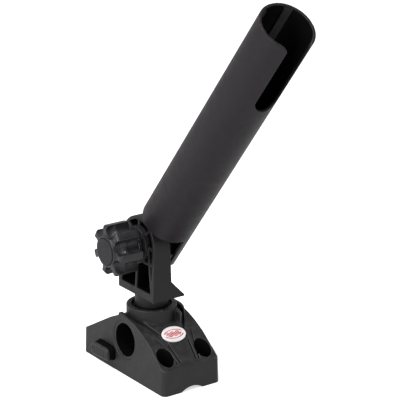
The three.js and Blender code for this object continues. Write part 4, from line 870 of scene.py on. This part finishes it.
tube = cut(along_tube(TUBE_R, TUBE_START, TUBE_END), along_tube(BORE_R, TUBE_START - 1, TUBE_END + 1))
join(tube, cut(along_tube(BORE_R + 1, FLOOR_Z, FLOOR_Z + FLOOR_TALL),
               along_tube(DRAIN_R, FLOOR_Z - 1, FLOOR_Z + FLOOR_TALL + 1, 64)))
ear = cut(along_tube(TUBE_R, -EAR_R - 1, TUBE_START + 1), along_tube(BORE_R, -EAR_R - 2, TUBE_START + 2))
ear_window = [(EAR_R, TUBE_START + 1), (-EAR_R, TUBE_START + 1)] + arc(0, 0, EAR_R, 180, 360, 80)
common(ear, prism(ear_window, TUBE_Y + TUBE_R * math.sin(math.radians(EAR_CUT)), TUBE_Y + TUBE_R + 1, "Y"))
boss = common(bar(BOSS_R, ARM_FACE_Y, TUBE_Y + TUBE_R, along="Y"),
              along_tube((TUBE_R + BORE_R) / 2, -EAR_R - 1, TUBE_START))
join(tube, ear, boss)
rib_reach = (TUBE_R + BORE_R) / 2
for side in (-1, 1):
    rib = block(BORE_R - TUBE_RIB_TALL, rib_reach, -TUBE_RIB_WIDE / 2, TUBE_RIB_WIDE / 2,
                FLOOR_Z, TUBE_END - 1)
    turn = Matrix.Rotation(math.radians(side * RIB_TURN), 4, "Z")
    join(tube, moved(rib, Matrix.Translation((0, TUBE_Y, 0)) @ turn))
slot_half = TUBE_R * math.sin(math.radians(SLOT_HALF_TURN))
slot_foot = TUBE_END - SLOT_LONG + slot_half
slot = [(y, z) for y, z in arc(0, slot_foot, slot_half, 180, 360, 60)]
slot += arc(slot_half + SLOT_CORNER, TUBE_END - SLOT_CORNER, SLOT_CORNER, 180, 90, 14)
slot += [(slot_half + SLOT_CORNER, TUBE_END + 2), (-slot_half - SLOT_CORNER, TUBE_END + 2)]
slot += arc(-slot_half - SLOT_CORNER, TUBE_END - SLOT_CORNER, SLOT_CORNER, 90, 0, 14)
cut(tube, moved(prism(slot, 0, TUBE_R + 1, "X"), Matrix.Translation((0, TUBE_Y, 0))),
    bar(BOLT_HOLE_R, ARM_FACE_Y - 3, HEX_SEAT_Y + 1, along="Y"),
    bar((HEX_FLATS / 2 + SLIDE) / math.cos(math.pi / 6), HEX_SEAT_Y, TUBE_Y + TUBE_R + 1, along="Y", steps=6),
    bar(SPRING_HOLE_R, ARM_FACE_Y - 3, ARM_FACE_Y + SPRING_HOLE_DEEP, along="Y"))
soften(tube, grain=0.48, rounds=4, faces=195000)
# The bore's wall is painted darker as shade, stopping MOUTH_RIM short of the mouth.
BORE_INNER, BORE_OUTER, MOUTH_RIM = 0.8, 0.3, 0.8


def in_the_bore(at):
    reach = math.hypot(at.x, at.y - TUBE_Y)
    return BORE_R - BORE_INNER < reach < BORE_R + BORE_OUTER and TUBE_START < at.z < TUBE_END - MOUTH_RIM


bore_faces = faces_where(tube, in_the_bore)
arm_place = Matrix.Translation((0, 0, PIVOT_Z)) @ Matrix.Rotation(lean, 4, "Y")
moved(tube, arm_place)
tube_plastic = moulded("tube_plastic", (0.0088, 0.0066, 0.0086), (0.07, 0.064, 0.07),
                       0.46, 0.45, 0.16, 0.22, 0.22)
finished(tube, "rod_tube_shell", "arm", tube_plastic, ["rod_tube"], bore_faces)

arm_teeth = join(bar(TOOTH_OUT, ARM_FACE_Y - 0.05, ARM_FACE_Y + 0.6, along="Y"),
                 *face_teeth(ARM_FACE_Y, -1, 0))
cut(arm_teeth, bar(SPRING_HOLE_R, ARM_FACE_Y - 3, ARM_FACE_Y + 2, along="Y"))
moved(arm_teeth, arm_place)
finished(arm_teeth, "tube_teeth", "arm", tube_plastic)
arm_teeth.data.set_sharp_from_angle(angle=FACET_TURN)

# ---- Pivot bolt, washers and release spring -----------------------------------------------
# A plain stainless hex bolt runs from the tube's ear through the head to the knob. A black
# acetal thrust washer, a steel knob washer and a light spring sit on it.
acetal = moulded("black_acetal", (0.02, 0.02, 0.021), (0.06, 0.06, 0.06), 0.35, 0.3, 0.0, 0.15, 0.4)
keep(stainless, "pivot_bolt", "knob_washer", "release_spring")
keep(acetal, "thrust_washer")

# ---- Hand knob: seven lobes, moulded in satin black plastic round a brass insert -----------
# It has deep round flutes and soft edges, and clamps the joint when it is turned on the bolt.
# A smooth dark cap with a fine rounded rim is pressed in to close its face.
knob_low, knob_high = box_mm("knob_body")
cap_low, cap_high = box_mm("knob_cap")
KNOB_BACK_Y, KNOB_LONG = knob_high.y, knob_high.y - knob_low.y
KNOB_R, HUB_R, HUB_LONG = 22, 11.5, 2.6
LOBES, LOBE_TURN = 7, 9
FACE_R, FACE_RISE, LOBE_ROUND, BACK_ROUND = 13, 1.6, 3.2, 0.8
FLUTE_R, FLUTE_STEPS = 6.3, 64
FLUTE_FLOOR = ((-1, 12.9), (4.5, 13.2), (6.5, 13.9), (8.2, 15.2), (9.6, 16.0), (11, 16.1), (13.5, 15.4))
FLUTE_FOOT_R = 14.6
INSERT_HALF, INSERT_ROOM = 6.8, 1.3
CAP_R, CAP_DEEP, CAP_FIT, CAP_ROUND = 11.4, 1.8, 0.3, 0.7
CAP_CROWN = ((2.2, -0.02), (5, 0.06), (CAP_R, 0.1))

lobe_front = KNOB_LONG - FACE_RISE
knob = turned([(0, 0), (HUB_R, 0), (HUB_R, HUB_LONG)]
              + [(r, HUB_LONG + z) for r, z in arc(KNOB_R - BACK_ROUND, BACK_ROUND, BACK_ROUND, -90, 0, 5)]
              + [(r, z) for r, z in arc(KNOB_R - LOBE_ROUND, lobe_front - LOBE_ROUND, LOBE_ROUND, 0, 90, 10)]
              + [(FACE_R + 1, lobe_front), (FACE_R, KNOB_LONG), (0, KNOB_LONG)])
floor_line = [(KNOB_LONG - depth, floor_r) for depth, floor_r in FLUTE_FLOOR]
floor_line.append((HUB_LONG - 1, FLUTE_FOOT_R))
flutes = []
for i in range(LOBES):
    angle = math.radians(90 + LOBE_TURN + (i + 0.5) * 360 / LOBES)
    flute = lofted([[(x, y, z) for x, y in circle(floor_r + FLUTE_R, 0, FLUTE_R, FLUTE_STEPS)]
                    for z, floor_r in floor_line])
    flutes.append(moved(flute, Matrix.Rotation(angle, 4, "Z")))
insert_low, insert_high = box_mm("knob_insert")
insert_long = insert_high.y - insert_low.y
cut(knob, *flutes, bar(INSERT_HALF / math.cos(math.pi / 6), -1, insert_long + INSERT_ROOM, steps=6),
    bar(BOLT_HOLE_R, -1, KNOB_LONG + 1), bar(CAP_R + CAP_FIT, KNOB_LONG - CAP_DEEP, KNOB_LONG + 1))
soften(knob, grain=0.27, rounds=6, faces=190000)
knob_place = Matrix.Translation((0, KNOB_BACK_Y, PIVOT_Z)) @ Matrix.Rotation(math.pi / 2, 4, "X")
moved(knob, knob_place)
knob_plastic = moulded("knob_plastic", (0.0145, 0.0145, 0.0165), (0.09, 0.09, 0.095),
                       0.33, 0.5, 0.1, 0.2, 0.36)
finished(knob, "hand_knob", "knob", knob_plastic, ["knob_body"])
brass = metallic("brass", (0.58, 0.4, 0.16), 0.34)
keep(brass, "knob_insert")

cap_long = cap_high.y - cap_low.y
cap = turned([(0, 0), (CAP_R, 0), (CAP_R, cap_long - CAP_ROUND)]
             + [(r, z) for r, z in arc(CAP_R - CAP_ROUND, cap_long - CAP_ROUND, CAP_ROUND, 0, 90, 8)][1:]
             + [(CAP_R - inset, cap_long + rise) for inset, rise in CAP_CROWN])
moved(cap, Matrix.Translation((0, cap_high.y, PIVOT_Z)) @ Matrix.Rotation(math.pi / 2, 4, "X"))
cap_plastic = moulded("knob_cap_plastic", (0.0105, 0.0092, 0.0118), (0.06, 0.056, 0.062),
                      0.44, 0.3, 0.06, 0.12, 0.2)
finished(cap, "knob_cap_disc", "knob", cap_plastic, ["knob_cap"])
